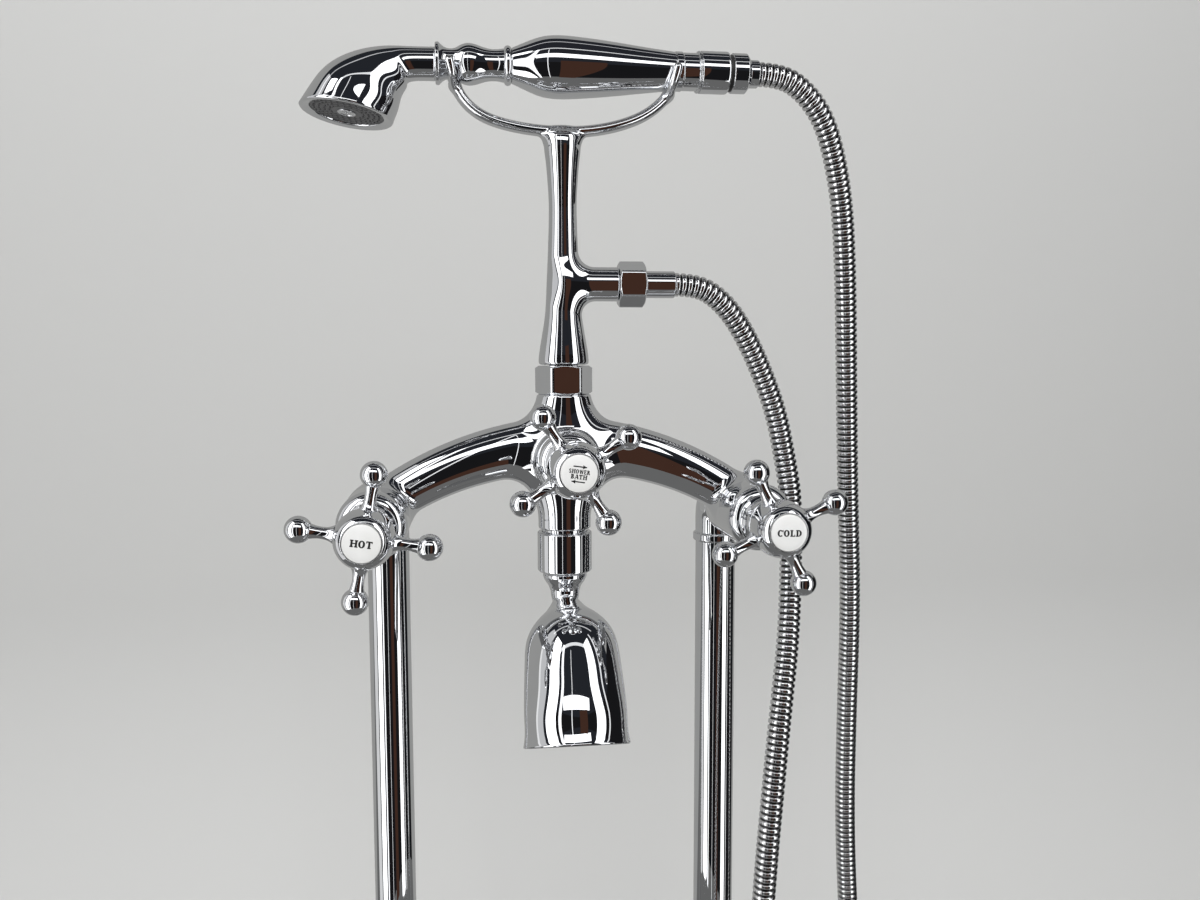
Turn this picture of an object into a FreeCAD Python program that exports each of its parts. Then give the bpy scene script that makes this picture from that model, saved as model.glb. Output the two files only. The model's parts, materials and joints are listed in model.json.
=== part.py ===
import FreeCAD, Part
import math
import os

# Floor standing bath filler: two standpipes carry a crescent mixer with hot, cold and diverter
# cross handles, a riser with a forked cradle, a telephone handset on a metal hose and a bell spout.
# Millimetres. +X is to the right seen from the front, +Y is away from the bather, +Z is up.
# The origin is on the floor, midway between the standpipes.

V = FreeCAD.Vector
X, Y, Z = V(1, 0, 0), V(0, 1, 0), V(0, 0, 1)

# ---- driving dimensions ----------------------------------------------------------------------
PIPE_SPACING = 220.0      # between standpipe centres, and between the hot and cold valves
VALVE_HEIGHT = 800.0      # hot and cold valve axes above the floor
BODY_REACH = 68.5         # mixer body plane in front of the standpipe plane

FIT = 0.05                # clearance of a close fit, on the radius
GAP = 0.3                 # clearance between pieces that move past each other

# standpipes and feet
PIPE_R = 13.5
PIPE_WALL = 1.5
FLANGE_R = 36.0
FLANGE_T = 6.0
FLANGE_BOSS_R = 17.0
FLANGE_BOSS_H = 30.0
SOCKET_DEPTH = 15.0       # how far the pipe stands in the flange boss
INLET_THREAD_R = 9.3      # G1/2 socket, tapped radius
INLET_THREAD_L = 12.0
SCREW_HOLE_R = 2.75
SCREW_SINK_R = 5.0
SCREW_OFFSET = 19.0       # floor screw from the pipe axis, along X and along Y
COVER_R = 41.0
COVER_H = 34.0
COVER_WALL = 1.5

# elbows at the top of the standpipes
ELBOW_R = 13.7
ELBOW_BEND_R = 17.0
ELBOW_BORE_R = 9.0
RING_R = 15.2
RING_H = 6.0
RING_TOP = 26.0           # ring's top face below the valve axis
SPIGOT_L = 16.0
SEAL_R = 1.2              # O-ring section radius

# union between elbow and valve chest
UNION_AF = 30.0
UNION_L = 15.0
TAIL_R = 10.4             # threaded tail behind the chest
TAIL_L = 9.0
TAIL_BORE_R = 6.5
WASHER_T = 2.0
LIP_T = 3.0               # inward lip of a union nut

# mixer body
ARM_R = 13.8
ARM_WATER_R = 6.5
CRESCENT_R = 185.0        # centre line of the two arms, one arc
CRESCENT_DROP = 145.0     # arc's centre below the valve axis
CHEST_R = 19.6
CHEST_BACK = 20.0         # chest's back face behind the body plane
CHEST_FRONT = 44.0        # chest's front face before the body plane
CHEST_ROUND = 8.0         # rounding of the chest's front
CHEST_BACK_ROUND = 3.0
BARREL_R = 15.7
BARREL_RISE = 30.7        # barrel's top above the arms' axis in the middle
BARREL_TOP = CRESCENT_R - CRESCENT_DROP + BARREL_RISE
BARREL_BOTTOM = -9.5
NECK_THREAD_R = 10.5      # male thread on top of the barrel
NECK_THREAD_L = 9.3
BARREL_BORE_R = 7.5
SEAT_TOP = 4.0            # top of the bore that takes the spout's shank
NIPPLE_R = 13.5           # male thread under the barrel, for the spout's collar
NIPPLE_BOTTOM = -25.0
DIVERTER_RISE = 32.4      # diverter axis above the hot and cold axes
DIVERTER_FRONT = 36.0
DIVERTER_R = 18.4
ARM_FILLET = 10.0         # arm to barrel
CHEST_FILLET = 6.0        # arm to chest

# valves, from the body plane forwards
CARTRIDGE_R = 8.5
CARTRIDGE_BACK = 10.0     # inner end of the cartridge behind the body plane
CARTRIDGE_FLANGE_R = 11.5
CARTRIDGE_FLANGE_T = 3.0
CARTRIDGE_PORT_R = 4.5
BONNET_THREAD_R = 12.0
BONNET_THREAD_L = 8.0
BONNET_FLANGE_R = 14.2
BONNET_NECK_R = 11.0
BONNET_L = 20.0
SPINDLE_R = 4.0
SPINDLE_IN = 16.0         # spindle's length inside the cartridge
SPINDLE_OUT = 12.0        # spindle's length in the hub

# cross handles, from the back rim of the hub forwards
HUB_GAP = 17.0            # chest face to hub's back rim
HUB_BACK_R = 14.0
HUB_R = 15.6
HUB_L = 29.5
HUB_LIP_R = 12.5
HUB_WEB = 9.0             # back rim to the web that takes the spindle
HUB_CAVITY_R = 12.2
INDEX_R = 9.9
INDEX_T = 5.0
INDEX_PROUD = 1.1
SPOKE_PLANE = 14.3        # spoke axes before the hub's back rim
SPOKE_REACH = 33.3        # handle axis to ball centre
SPOKE_ROOT_R = 4.3
SPOKE_WAIST_R = 2.9
SPOKE_NECK_R = 3.4
SPOKE_TENON_R = 2.5
SPOKE_SEAT = 14.9         # flat on the hub that each spoke stands on
BALL_R = 7.4
SCREW_R = 2.1
SCREW_HEAD_R = 4.0
HANDLE_TURN = {"hot": -9.5, "cold": 23.8, "diverter": 31.6}   # how each cross stands at rest, degrees

# riser and cradle, heights above the valve axis
RISER_NUT_AF = 30.0
RISER_NUT_L = 16.9        # from the barrel's top to its own
RISER_NUT_TOP = BARREL_TOP + RISER_NUT_L
RISER_FOOT = RISER_NUT_TOP + 2 * GAP
RISER_FOOT_H = 3.0        # turned foot of the riser
RISER_FOOT_R = 14.8
# stem between its foot and its dome: share of that length, radius
STEM_PROFILE = [
    (0.0, RISER_FOOT_R), (0.0435, 14.2), (0.0936, 13.2), (0.1502, 12.0), (0.2094, 10.95), (0.2775, 10.25), (0.3596, 9.8),
    (0.4745, 9.1), (0.5952, 8.5), (0.6634, 8.25), (0.7373, 8.15), (0.803, 8.45), (0.8768, 9.1), (0.9425, 9.8), (1.0, 10.6),
]
STEM_DOME_H = 9.8         # dome of the stem, up into the strap
RISER_TAIL_R = 8.8
RISER_BORE_R = 5.5
BRANCH_HEIGHT = 135.4
BRANCH_R = 10.0
BRANCH_END = 32.4
BRANCH_BORE_R = 4.5
BRANCH_FILLET = 8.0
CRADLE_STRAP_T = 6.0
CRADLE_STRAP_W = 10.0
CRADLE_DROP = 36.2        # strap's lowest point below the handset's axis
FORK_ROD_R = 2.75
FORK_LEFT_X = -64.5
FORK_RIGHT_X = 66.5
FORK_TIP_DROP = 1.5       # fork tips below the handset's axis

# handset, its axis is along X
HANDSET_HEIGHT = 259.0
HANDSET_NECK_R = 8.5      # where it lies in the left fork
HANDSET_TAIL_R = 11.5     # where it lies in the right fork
HANDSET_BORE_R = 4.5
SPIGOT_R = 6.2            # spigots that join its pieces
HANDSET_THREAD_R = 9.5
HANDSET_THREAD_END = 90.0
NECK_X = -72.2            # joint of head and baluster
RING_X = -31.2            # slim ring at the foot of the handle
END_RING_X = 65.9
TAIL_BEAD_X = 79.6
NUT_A_X = 80.8
CONE_FLANGE_X = 92.0
CONE_STEM_R = 7.5
HANDSET_ROLL = 4.0        # it lies rolled a little towards the bather
FACE_X = -122.0
FACE_DROP = 29.8          # middle of the spray face below the handset's axis
FACE_TILT = 8.5
FACE_R = 26.0
PLATE_R = 20.4
PLATE_T = 3.0
JET_R = 5.2
# head: x, drop below the handset's axis, radius, and how far the way along it has turned down
HEAD_SECTIONS = [
    (NECK_X - 1.0, 0.4, 9.2, 0.0), (-84.0, 0.7, 9.25, 5.0), (-94.3, 2.6, 12.2, 29.4), (-104.6, 7.5, 17.4, 50.2),
    (-113.7, 16.2, 22.6, 64.4), (-119.4, 25.1, 24.8, 76.2), (FACE_X, FACE_DROP, FACE_R, 90 - FACE_TILT),
]
# handle between the slim ring and the end ring: share of that length, radius
HANDLE_PROFILE = [
    (0.0, 10.0), (0.0738, 12.9), (0.1791, 16.6), (0.2824, 17.7), (0.3899, 17.3), (0.6259, 15.2), (0.8114, 13.1), (1.0, 11.2),
]

# hose and its ends
HOSE_R = 7.0
HOSE_NUT_AF = 24.0
HOSE_NUT_L = 15.6
HOSE_THREAD_R = 9.0
HOSE_THREAD_L = 9.6
HOSE_STEM_R = 6.7
HOSE_BORE_R = 4.0
HOSE_START_X = 66.5
HOSE_END_X = 116.3
# hose corners in the mixer's frame: x, y, height; down from the branch, and down from the handset
HOSE_DOWN = [
    (66.5, 0, 135.4), (80, 0, 135.4), (94.3, 1, 130.6), (107.3, 4, 119.7), (120, 8, 99.3), (131, 10, 68), (137.5, 9, 36),
    (141.5, 4, 10), (142, 0, -35), (139, -12, -75), (133.5, -24, -115), (127.5, -32, -160), (121, -36, -210),
    (115, -38, -265), (112, -38, -320), (111, -38, -370),
]
HOSE_UP = [
    (116.3, 0, 259.0), (131, 0, 259.0), (147, 2, 253), (159.5, 5, 239.5), (168, 10, 220), (176, 17, 190), (183, 26, 145),
    (189, 36, 80), (194, 45, 0), (200, 53, -80), (205, 62, -170), (208, 69, -255), (213.9, 74, -330),
]
HOSE_LOOP_R = 76.0
HOSE_LOOP_HEIGHT = -392.0
HOSE_LOOP_WAY = (0.677, 0.736)   # in plan, from the falling leg to the rising one
FERRULE_R = 7.9
HANDSET_NUT_R = 12.5
CONE_R = 11.9

# spout, depths below the valve axis
COLLAR_R = 16.3
COLLAR_TOP = -11.3
COLLAR_BOTTOM = -35.5
CUP_R = 13.2
SPOUT_SHANK_R = 10.8
SPOUT_WALL = 2.0
SPOUT_NECK_R = 10.8
SPOUT_BORE_R = 6.8
SPOUT_LIP_Z = -31.0
SPOUT_SEAL_Z = (-4.0, -14.0)
CUP_TOP = -36.0
CUP_H = 2.5               # straight band of the cup
# spout: distance forward, height, radius, and how far the way along it leans towards the bather
SPOUT_SECTIONS = [
    (0, -41.0, 8.7, 0), (0.5, -47.0, 8.7, 5), (6.0, -55.0, 9.0, 40), (17.0, -61.5, 14.5, 52), (31.0, -68.0, 22.5, 50),
    (42.0, -77.0, 25.8, 40), (52.0, -91.0, 27.3, 30), (60.0, -104.0, 27.8, 24), (66.0, -118.0, 28.4, 21.6),
]

SIDES = {"left": -1, "right": 1}
BODY_Y = -BODY_REACH
HALF_SPACING = PIPE_SPACING / 2


# ---- helpers ---------------------------------------------------------------------------------
def spot(x, forward, height):
    """A point given from the mixer's middle: to the right, towards the bather, above the valve axis."""
    return V(x, BODY_Y - forward, VALVE_HEIGHT + height)


def line(*points):
    """Straight edges through (distance along the axis, radius) points."""
    ends = [V(r, 0, a) for a, r in points]
    return [Part.LineSegment(p, q).toShape() for p, q in zip(ends, ends[1:])]


def arc(start, middle, end):
    """A circular edge through three (distance, radius) points."""
    return [Part.Arc(*[V(r, 0, a) for a, r in (start, middle, end)]).toShape()]


def curve(*points):
    """One smooth edge through (distance, radius) points."""
    spline = Part.BSplineCurve()
    spline.interpolate([V(r, 0, a) for a, r in points])
    return [spline.toShape()]


def aim(shape, base, direction):
    """Moves a shape made along +Z from the origin to its base and direction."""
    shape.Placement = FreeCAD.Placement(base, FreeCAD.Rotation(Z, direction))
    return shape


def turned(edges, base, direction):
    """A solid turned from an outline of edges, closed along the axis."""
    first = edges[0].valueAt(edges[0].FirstParameter)
    last = edges[-1].valueAt(edges[-1].LastParameter)
    outline = list(edges)
    corners = [last, V(0, 0, last.z), V(0, 0, first.z), first]
    for p, q in zip(corners, corners[1:]):
        if p.distanceToPoint(q) > 1e-6:
            outline.append(Part.LineSegment(p, q).toShape())
    face = Part.Face(Part.Wire(outline))
    return aim(face.revolve(V(0, 0, 0), Z, 360), base, direction)


def rod(radius, start, end):
    """A plain cylinder from one point to another."""
    return Part.makeCylinder(radius, (end - start).Length, start, (end - start).normalize())


def tube(radius, bore, start, end):
    """A cylinder with a hole through it."""
    return rod(radius, start, end).cut(rod(bore, start, end))


def ring(radius, section_r, centre, direction):
    """A round section O-ring."""
    return Part.makeTorus(radius, section_r, centre, direction)


def hexagon(across_flats, length, base, direction, turn=0.0):
    """A hexagon bar with both ends chamfered, as a nut has."""
    corner_r = across_flats / math.sqrt(3)
    corners = [
        V(corner_r * math.cos(math.radians(a + turn)), corner_r * math.sin(math.radians(a + turn)), 0)
        for a in range(0, 361, 60)
    ]
    bar = Part.Face(Part.makePolygon(corners)).extrude(V(0, 0, length))
    chamfer = corner_r - across_flats / 2
    blank = turned(
        line((0, corner_r - chamfer), (chamfer * 0.6, corner_r + 0.1),
             (length - chamfer * 0.6, corner_r + 0.1), (length, corner_r - chamfer)),
        V(0, 0, 0), Z)
    return aim(bar.common(blank), base, direction)


def circle(centre, normal, radius):
    """A closed circular wire, for lofts."""
    return Part.Wire(Part.Circle(centre, normal, radius).toShape())


def hoop(centre, radius, axis, angle):
    """A circular wire that faces up, tipped about an axis: hoops of one loft all start on the same side."""
    wire = Part.Wire(Part.Circle(V(0, 0, 0), Z, radius).toShape())
    wire.Placement = FreeCAD.Placement(centre, FreeCAD.Rotation(axis, angle))
    return wire


def compound(shapes):
    return Part.makeCompound(shapes)


# ---- feet and standpipes ---------------------------------------------------------------------
def floor_flange(x):
    """Cast floor flange: four countersunk screw holes, a threaded inlet below and a pipe socket above."""
    disc = rod(FLANGE_R, V(x, 0, 0), V(x, 0, FLANGE_T))
    boss = rod(FLANGE_BOSS_R, V(x, 0, 0), V(x, 0, FLANGE_BOSS_H))
    shape = disc.fuse(boss).removeSplitter()
    shape = shape.cut(rod(INLET_THREAD_R, V(x, 0, 0), V(x, 0, INLET_THREAD_L)))
    shape = shape.cut(rod(TAIL_BORE_R, V(x, 0, 0), V(x, 0, FLANGE_BOSS_H)))
    shape = shape.cut(rod(PIPE_R + FIT, V(x, 0, FLANGE_BOSS_H - SOCKET_DEPTH), V(x, 0, FLANGE_BOSS_H)))
    sink = SCREW_SINK_R - SCREW_HOLE_R
    for sx in (-1, 1):
        for sy in (-1, 1):
            place = V(x + sx * SCREW_OFFSET, sy * SCREW_OFFSET, 0)
            shape = shape.cut(rod(SCREW_HOLE_R, place, place + Z * FLANGE_T))
            cone = Part.makeCone(SCREW_HOLE_R, SCREW_SINK_R, sink, place + Z * (FLANGE_T - sink), Z)
            shape = shape.cut(cone)
    return shape


def flange_cover(x):
    """Thin domed cover that drops over the flange and its boss, close round the pipe at its top."""
    def dome(inset):
        shoulder_r = FLANGE_BOSS_R + GAP + COVER_WALL - inset
        foot_r = COVER_R - inset
        top = COVER_H - inset
        return turned(
            line((0, foot_r), (3, foot_r))
            + curve((3, foot_r), (9, foot_r - 3.5), (17, foot_r - 13), (24, shoulder_r + 2), (29, shoulder_r))
            + line((29, shoulder_r), (top, shoulder_r)),
            V(x, 0, 0), Z)
    return dome(0).cut(dome(COVER_WALL)).cut(rod(PIPE_R + GAP, V(x, 0, 0), V(x, 0, COVER_H)))


def standpipe(x):
    start = V(x, 0, FLANGE_BOSS_H - SOCKET_DEPTH)
    end = V(x, 0, VALVE_HEIGHT - RING_TOP - RING_H)
    return tube(PIPE_R, PIPE_R - PIPE_WALL, start, end)


def elbow(x):
    """Elbow from the standpipe to the back of the valve chest, with a ring collar and a spigot in the pipe."""
    ring_top = VALVE_HEIGHT - RING_TOP
    ring_bottom = ring_top - RING_H
    spigot_r = PIPE_R - PIPE_WALL - FIT
    face_y = BODY_Y + CHEST_BACK + TAIL_L + WASHER_T
    bend_z = VALVE_HEIGHT - ELBOW_BEND_R
    leg_y = -ELBOW_BEND_R
    nut_back = face_y + LIP_T + 1.0
    middle = math.sqrt(0.5) * ELBOW_BEND_R

    def bent(radius, low, front):
        path = Part.Wire([
            Part.LineSegment(V(x, 0, low), V(x, 0, bend_z)).toShape(),
            Part.Arc(V(x, 0, bend_z), V(x, leg_y + middle, bend_z + middle), V(x, leg_y, VALVE_HEIGHT)).toShape(),
            Part.LineSegment(V(x, leg_y, VALVE_HEIGHT), V(x, front, VALVE_HEIGHT)).toShape(),
        ])
        return path.makePipeShell([circle(V(x, 0, low), Z, radius)], True, True)

    shape = bent(ELBOW_R, ring_bottom, nut_back + UNION_L)
    shape = shape.fuse(rod(RING_R, V(x, 0, ring_bottom), V(x, 0, ring_top)))
    shape = shape.fuse(rod(spigot_r, V(x, 0, ring_bottom - SPIGOT_L), V(x, 0, ring_bottom)))
    tail_r = TAIL_R - 1.5
    shape = shape.fuse(rod(tail_r, V(x, nut_back + UNION_L, VALVE_HEIGHT), V(x, face_y, VALVE_HEIGHT)))
    shape = shape.fuse(rod(TAIL_R, V(x, face_y + LIP_T, VALVE_HEIGHT), V(x, face_y, VALVE_HEIGHT)))
    shape = shape.removeSplitter()
    seal_z = ring_bottom - SPIGOT_L / 2
    shape = shape.cut(ring(spigot_r, SEAL_R, V(x, 0, seal_z), Z))
    return shape.cut(bent(ELBOW_BORE_R - 2.5, ring_bottom - SPIGOT_L, face_y))


def standpipe_seal(x):
    seal_z = VALVE_HEIGHT - RING_TOP - RING_H - SPIGOT_L / 2
    spigot_r = PIPE_R - PIPE_WALL - FIT
    seal = ring(spigot_r - FIT, SEAL_R - FIT, V(x, 0, seal_z), Z)
    return seal.common(rod(spigot_r, V(x, 0, seal_z - 3), V(x, 0, seal_z + 3)))


def inlet_union(x):
    """Union nut that draws the elbow's tail against the threaded tail behind the chest."""
    tail_end = BODY_Y + CHEST_BACK + TAIL_L
    back = tail_end + WASHER_T + LIP_T + FIT + LIP_T
    front = back - UNION_L
    nut = hexagon(UNION_AF, UNION_L, V(x, front, VALVE_HEIGHT), Y, 30)
    nut = nut.cut(rod(TAIL_R + FIT, V(x, front, VALVE_HEIGHT), V(x, back - LIP_T, VALVE_HEIGHT)))
    return nut.cut(rod(TAIL_R - 1.5 + FIT, V(x, front, VALVE_HEIGHT), V(x, back, VALVE_HEIGHT)))


def inlet_washer(x):
    tail_end = BODY_Y + CHEST_BACK + TAIL_L
    return tube(TAIL_R - FIT, TAIL_BORE_R, V(x, tail_end, VALVE_HEIGHT), V(x, tail_end + WASHER_T, VALVE_HEIGHT))


# ---- mixer body ------------------------------------------------------------------------------
def crescent(radius):
    """The two arms as one bent bar, from one valve axis to the other."""
    half = math.asin(HALF_SPACING / CRESCENT_R)
    end_height = CRESCENT_R * math.cos(half) - CRESCENT_DROP
    left, top, right = (
        spot(-HALF_SPACING, 0, end_height), spot(0, 0, CRESCENT_R - CRESCENT_DROP), spot(HALF_SPACING, 0, end_height))
    path = Part.Wire(Part.Arc(left, top, right).toShape())
    return path.makePipeShell([circle(left, V(math.cos(half), 0, math.sin(half)), radius)], True, True)


def chest(x, height, radius, back, front, front_round, back_round):
    """Valve chest: a cylinder towards the bather with rounded ends."""
    k, m = front_round * (1 - math.sqrt(0.5)), back_round * (1 - math.sqrt(0.5))
    edges = (
        arc((-back, radius - back_round), (-back + m, radius - m), (-back + back_round, radius))
        + line((-back + back_round, radius), (front - front_round, radius))
        + arc((front - front_round, radius), (front - k, radius - k), (front, radius - front_round))
    )
    return turned(edges, spot(x, 0, height), -Y)


def is_join(edge):
    """An edge where one turned form runs into another: it bends in more than one plane."""
    return not edge.Degenerated and edge.Curve.TypeId == "Part::GeomBSplineCurve"


def mixer_body():
    """Crescent body with its chests, middle barrel, threaded tails and waterways."""
    shape = crescent(ARM_R).fuse(rod(BARREL_R, spot(0, 0, BARREL_BOTTOM), spot(0, 0, BARREL_TOP))).removeSplitter()
    shape = shape.makeFillet(ARM_FILLET, [e for e in shape.Edges if is_join(e)])
    for side in SIDES.values():
        shape = shape.fuse(
            chest(side * HALF_SPACING, 0, CHEST_R, CHEST_BACK, CHEST_FRONT, CHEST_ROUND, CHEST_BACK_ROUND))
    shape = shape.removeSplitter()
    joins = [e for e in shape.Edges if is_join(e) and abs(e.CenterOfMass.x) > 0.7 * HALF_SPACING]
    shape = shape.makeFillet(CHEST_FILLET, joins)
    shape = shape.fuse(chest(0, DIVERTER_RISE, DIVERTER_R, 0.0, DIVERTER_FRONT, CHEST_ROUND - 1, 1.0))
    shape = shape.fuse(rod(NECK_THREAD_R, spot(0, 0, BARREL_TOP - 1), spot(0, 0, BARREL_TOP + NECK_THREAD_L)))
    shape = shape.fuse(rod(NIPPLE_R, spot(0, 0, NIPPLE_BOTTOM), spot(0, 0, BARREL_BOTTOM + 1)))
    for side in SIDES.values():
        x = side * HALF_SPACING
        shape = shape.fuse(rod(TAIL_R, spot(x, 1 - CHEST_BACK, 0), spot(x, -CHEST_BACK - TAIL_L, 0)))
    # waterways
    shape = shape.cut(crescent(ARM_WATER_R))
    shape = shape.cut(rod(BARREL_BORE_R, spot(0, 0, SEAT_TOP), spot(0, 0, BARREL_TOP + NECK_THREAD_L)))
    shape = shape.cut(rod(SPOUT_SHANK_R + FIT, spot(0, 0, NIPPLE_BOTTOM), spot(0, 0, SEAT_TOP)))
    for x, height, front in VALVES.values():
        step = front - BONNET_THREAD_L
        shape = shape.cut(rod(CARTRIDGE_R + FIT, spot(x, -CARTRIDGE_BACK, height), spot(x, step, height)))
        shape = shape.cut(rod(BONNET_THREAD_R + FIT, spot(x, step, height), spot(x, front, height)))
    for side in SIDES.values():
        x = side * HALF_SPACING
        shape = shape.cut(rod(TAIL_BORE_R, spot(x, -CHEST_BACK - TAIL_L, 0), spot(x, -CARTRIDGE_BACK, 0)))
    return shape


# ---- valves and cross handles ----------------------------------------------------------------
def cartridge(x, height, front):
    """Ceramic disc cartridge: inlet through its inner end, ports in its sides, flange under the bonnet."""
    step = front - BONNET_THREAD_L
    out = front + BONNET_L
    shape = rod(CARTRIDGE_R, spot(x, -CARTRIDGE_BACK, height), spot(x, out, height))
    shape = shape.fuse(rod(CARTRIDGE_FLANGE_R, spot(x, step, height), spot(x, step + CARTRIDGE_FLANGE_T, height)))
    shape = shape.cut(rod(CARTRIDGE_PORT_R + 0.5, spot(x, -CARTRIDGE_BACK, height), spot(x, 8, height)))
    for across in (X, Z):
        middle = spot(x, 0, height)
        shape = shape.cut(rod(CARTRIDGE_PORT_R, middle - across * 10, middle + across * 10))
    return shape.cut(rod(SPINDLE_R + FIT, spot(x, out - SPINDLE_IN, height), spot(x, out, height)))


def bonnet(x, height, front):
    """Bonnet screwed into the chest; its neck runs into the handle's skirt."""
    edges = line(
        (front - BONNET_THREAD_L + CARTRIDGE_FLANGE_T, BONNET_THREAD_R), (front, BONNET_THREAD_R),
        (front, BONNET_FLANGE_R - 0.6), (front + 0.6, BONNET_FLANGE_R), (front + 2.4, BONNET_FLANGE_R),
        (front + 3.4, BONNET_FLANGE_R - 1.0))
    edges += curve((front + 3.4, BONNET_FLANGE_R - 1.0), (front + 5.2, 11.9), (front + 8, BONNET_NECK_R))
    edges += line((front + 8, BONNET_NECK_R), (front + BONNET_L, BONNET_NECK_R))
    shape = turned(edges, spot(x, 0, height), -Y)
    return shape.cut(rod(CARTRIDGE_R + FIT, spot(x, front - 8, height), spot(x, front + BONNET_L, height)))


def hub_marks(front):
    """Distances before the body plane: hub's back rim, web, spindle's end, head pocket, index seat, lip."""
    rim = front + HUB_GAP
    web = rim + HUB_WEB
    spindle_end = web + SPINDLE_OUT
    seat = rim + HUB_L + INDEX_PROUD - INDEX_T
    return rim, web, spindle_end, spindle_end + 1.2, seat, rim + HUB_L


def spoke_ways(turn):
    for quarter in range(4):
        a = math.radians(turn + 90 * quarter)
        yield V(math.cos(a), 0, math.sin(a))


def hub(x, height, front, turn):
    """Bell shaped hub: skirt over the bonnet, web for the spindle, seat for the index, four flats for the spokes."""
    rim, web, spindle_end, pocket, seat, lip = hub_marks(front)
    edges = line((rim, HUB_BACK_R - 0.5), (rim + 0.5, HUB_BACK_R))
    edges += curve((rim + 0.5, HUB_BACK_R), (rim + 5, 14.8), (rim + 11, HUB_R), (rim + 17, 15.5),
                   (rim + 22, 14.7), (rim + 27, 12.9))
    edges += line((rim + 27, 12.9), (lip - 0.5, HUB_LIP_R), (lip, HUB_LIP_R - 0.5))
    shape = turned(edges, spot(x, 0, height), -Y)
    shape = shape.cut(rod(HUB_CAVITY_R, spot(x, rim, height), spot(x, web, height)))
    shape = shape.cut(rod(SPINDLE_R + FIT, spot(x, web, height), spot(x, spindle_end, height)))
    shape = shape.cut(rod(SCREW_R + FIT, spot(x, spindle_end, height), spot(x, pocket, height)))
    shape = shape.cut(rod(SCREW_HEAD_R + GAP, spot(x, pocket, height), spot(x, seat, height)))
    shape = shape.cut(rod(INDEX_R + FIT, spot(x, seat, height), spot(x, lip, height)))
    centre = spot(x, rim + SPOKE_PLANE, height)
    for way in spoke_ways(turn):
        shape = shape.cut(rod(SPOKE_ROOT_R + FIT, centre + way * SPOKE_SEAT, centre + way * (HUB_R + 2)))
        shape = shape.cut(rod(SPOKE_TENON_R + FIT, centre + way * (SPINDLE_R + 5), centre + way * SPOKE_SEAT))
    return shape


def spoke(centre, way):
    """Waisted spoke turned in one piece with its ball end and a tenon for the hub."""
    neck = math.sqrt(BALL_R ** 2 - 4.2 ** 2)
    edges = line((SPINDLE_R + 5, SPOKE_TENON_R), (SPOKE_SEAT, SPOKE_TENON_R), (SPOKE_SEAT, SPOKE_ROOT_R))
    edges += curve((SPOKE_SEAT, SPOKE_ROOT_R), (17.4, 3.45), (21.4, SPOKE_WAIST_R), (24.6, 3.15),
                   (SPOKE_REACH - neck, 4.2))
    edges += arc((SPOKE_REACH - neck, 4.2), (SPOKE_REACH, BALL_R), (SPOKE_REACH + BALL_R, 0))
    return turned(edges, centre, way)


def spokes(x, height, front, turn):
    centre = spot(x, hub_marks(front)[0] + SPOKE_PLANE, height)
    return compound([spoke(centre, way) for way in spoke_ways(turn)])


def spindle(x, height, front):
    spindle_end = hub_marks(front)[2]
    shape = rod(SPINDLE_R, spot(x, front + BONNET_L - SPINDLE_IN, height), spot(x, spindle_end, height))
    return shape.cut(rod(SCREW_R + FIT, spot(x, spindle_end - 9, height), spot(x, spindle_end, height)))


def handle_screw(x, height, front):
    """Screw that holds the hub to the spindle, hidden under the index."""
    spindle_end, pocket = hub_marks(front)[2:4]
    shape = rod(SCREW_R, spot(x, spindle_end - 8, height), spot(x, pocket, height))
    shape = shape.fuse(rod(SCREW_HEAD_R, spot(x, pocket, height), spot(x, pocket + 2.2, height))).removeSplitter()
    drive = hexagon(3.0, 1.6, spot(x, pocket + 0.8, height), -Y)
    return shape.cut(drive)


def index(x, height, front):
    """White ceramic disc in the hub, a little domed."""
    seat = hub_marks(front)[4]
    edges = line((seat, INDEX_R), (seat + INDEX_T - 0.4, INDEX_R))
    edges += arc((seat + INDEX_T - 0.4, INDEX_R), (seat + INDEX_T + 0.1, INDEX_R * 0.55), (seat + INDEX_T + 0.3, 0.5))
    return turned(edges, spot(x, 0, height), -Y)


# ---- riser and cradle ------------------------------------------------------------------------
def riser_nut():
    """Hexagon union nut on the barrel's neck; its lip holds the riser's tail down."""
    start, end = spot(0, 0, BARREL_TOP + FIT), spot(0, 0, RISER_NUT_TOP)
    nut = hexagon(RISER_NUT_AF, (end - start).Length, start, Z)
    nut = nut.cut(rod(NECK_THREAD_R + FIT, start, spot(0, 0, RISER_NUT_TOP - LIP_T)))
    return nut.cut(rod(RISER_TAIL_R + FIT, start, end))


def riser_washer():
    low = BARREL_TOP + NECK_THREAD_L
    return tube(NECK_THREAD_R - FIT, BARREL_BORE_R, spot(0, 0, low), spot(0, 0, low + WASHER_T))


def riser_tail():
    """Flanged tail that the nut holds, screwed up into the riser's foot."""
    low = BARREL_TOP + NECK_THREAD_L + WASHER_T
    flange_top = RISER_NUT_TOP - LIP_T - FIT
    shape = rod(NECK_THREAD_R - FIT, spot(0, 0, low), spot(0, 0, flange_top))
    shape = shape.fuse(rod(RISER_TAIL_R, spot(0, 0, low), spot(0, 0, RISER_FOOT + 9))).removeSplitter()
    return shape.cut(rod(RISER_BORE_R, spot(0, 0, low), spot(0, 0, RISER_FOOT + 9)))


def swept(points, section):
    """A section carried along a smooth path through points."""
    spline = Part.BSplineCurve()
    spline.interpolate(points)
    return Part.Wire(spline.toShape()).makePipeShell([section], True, True)


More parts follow.
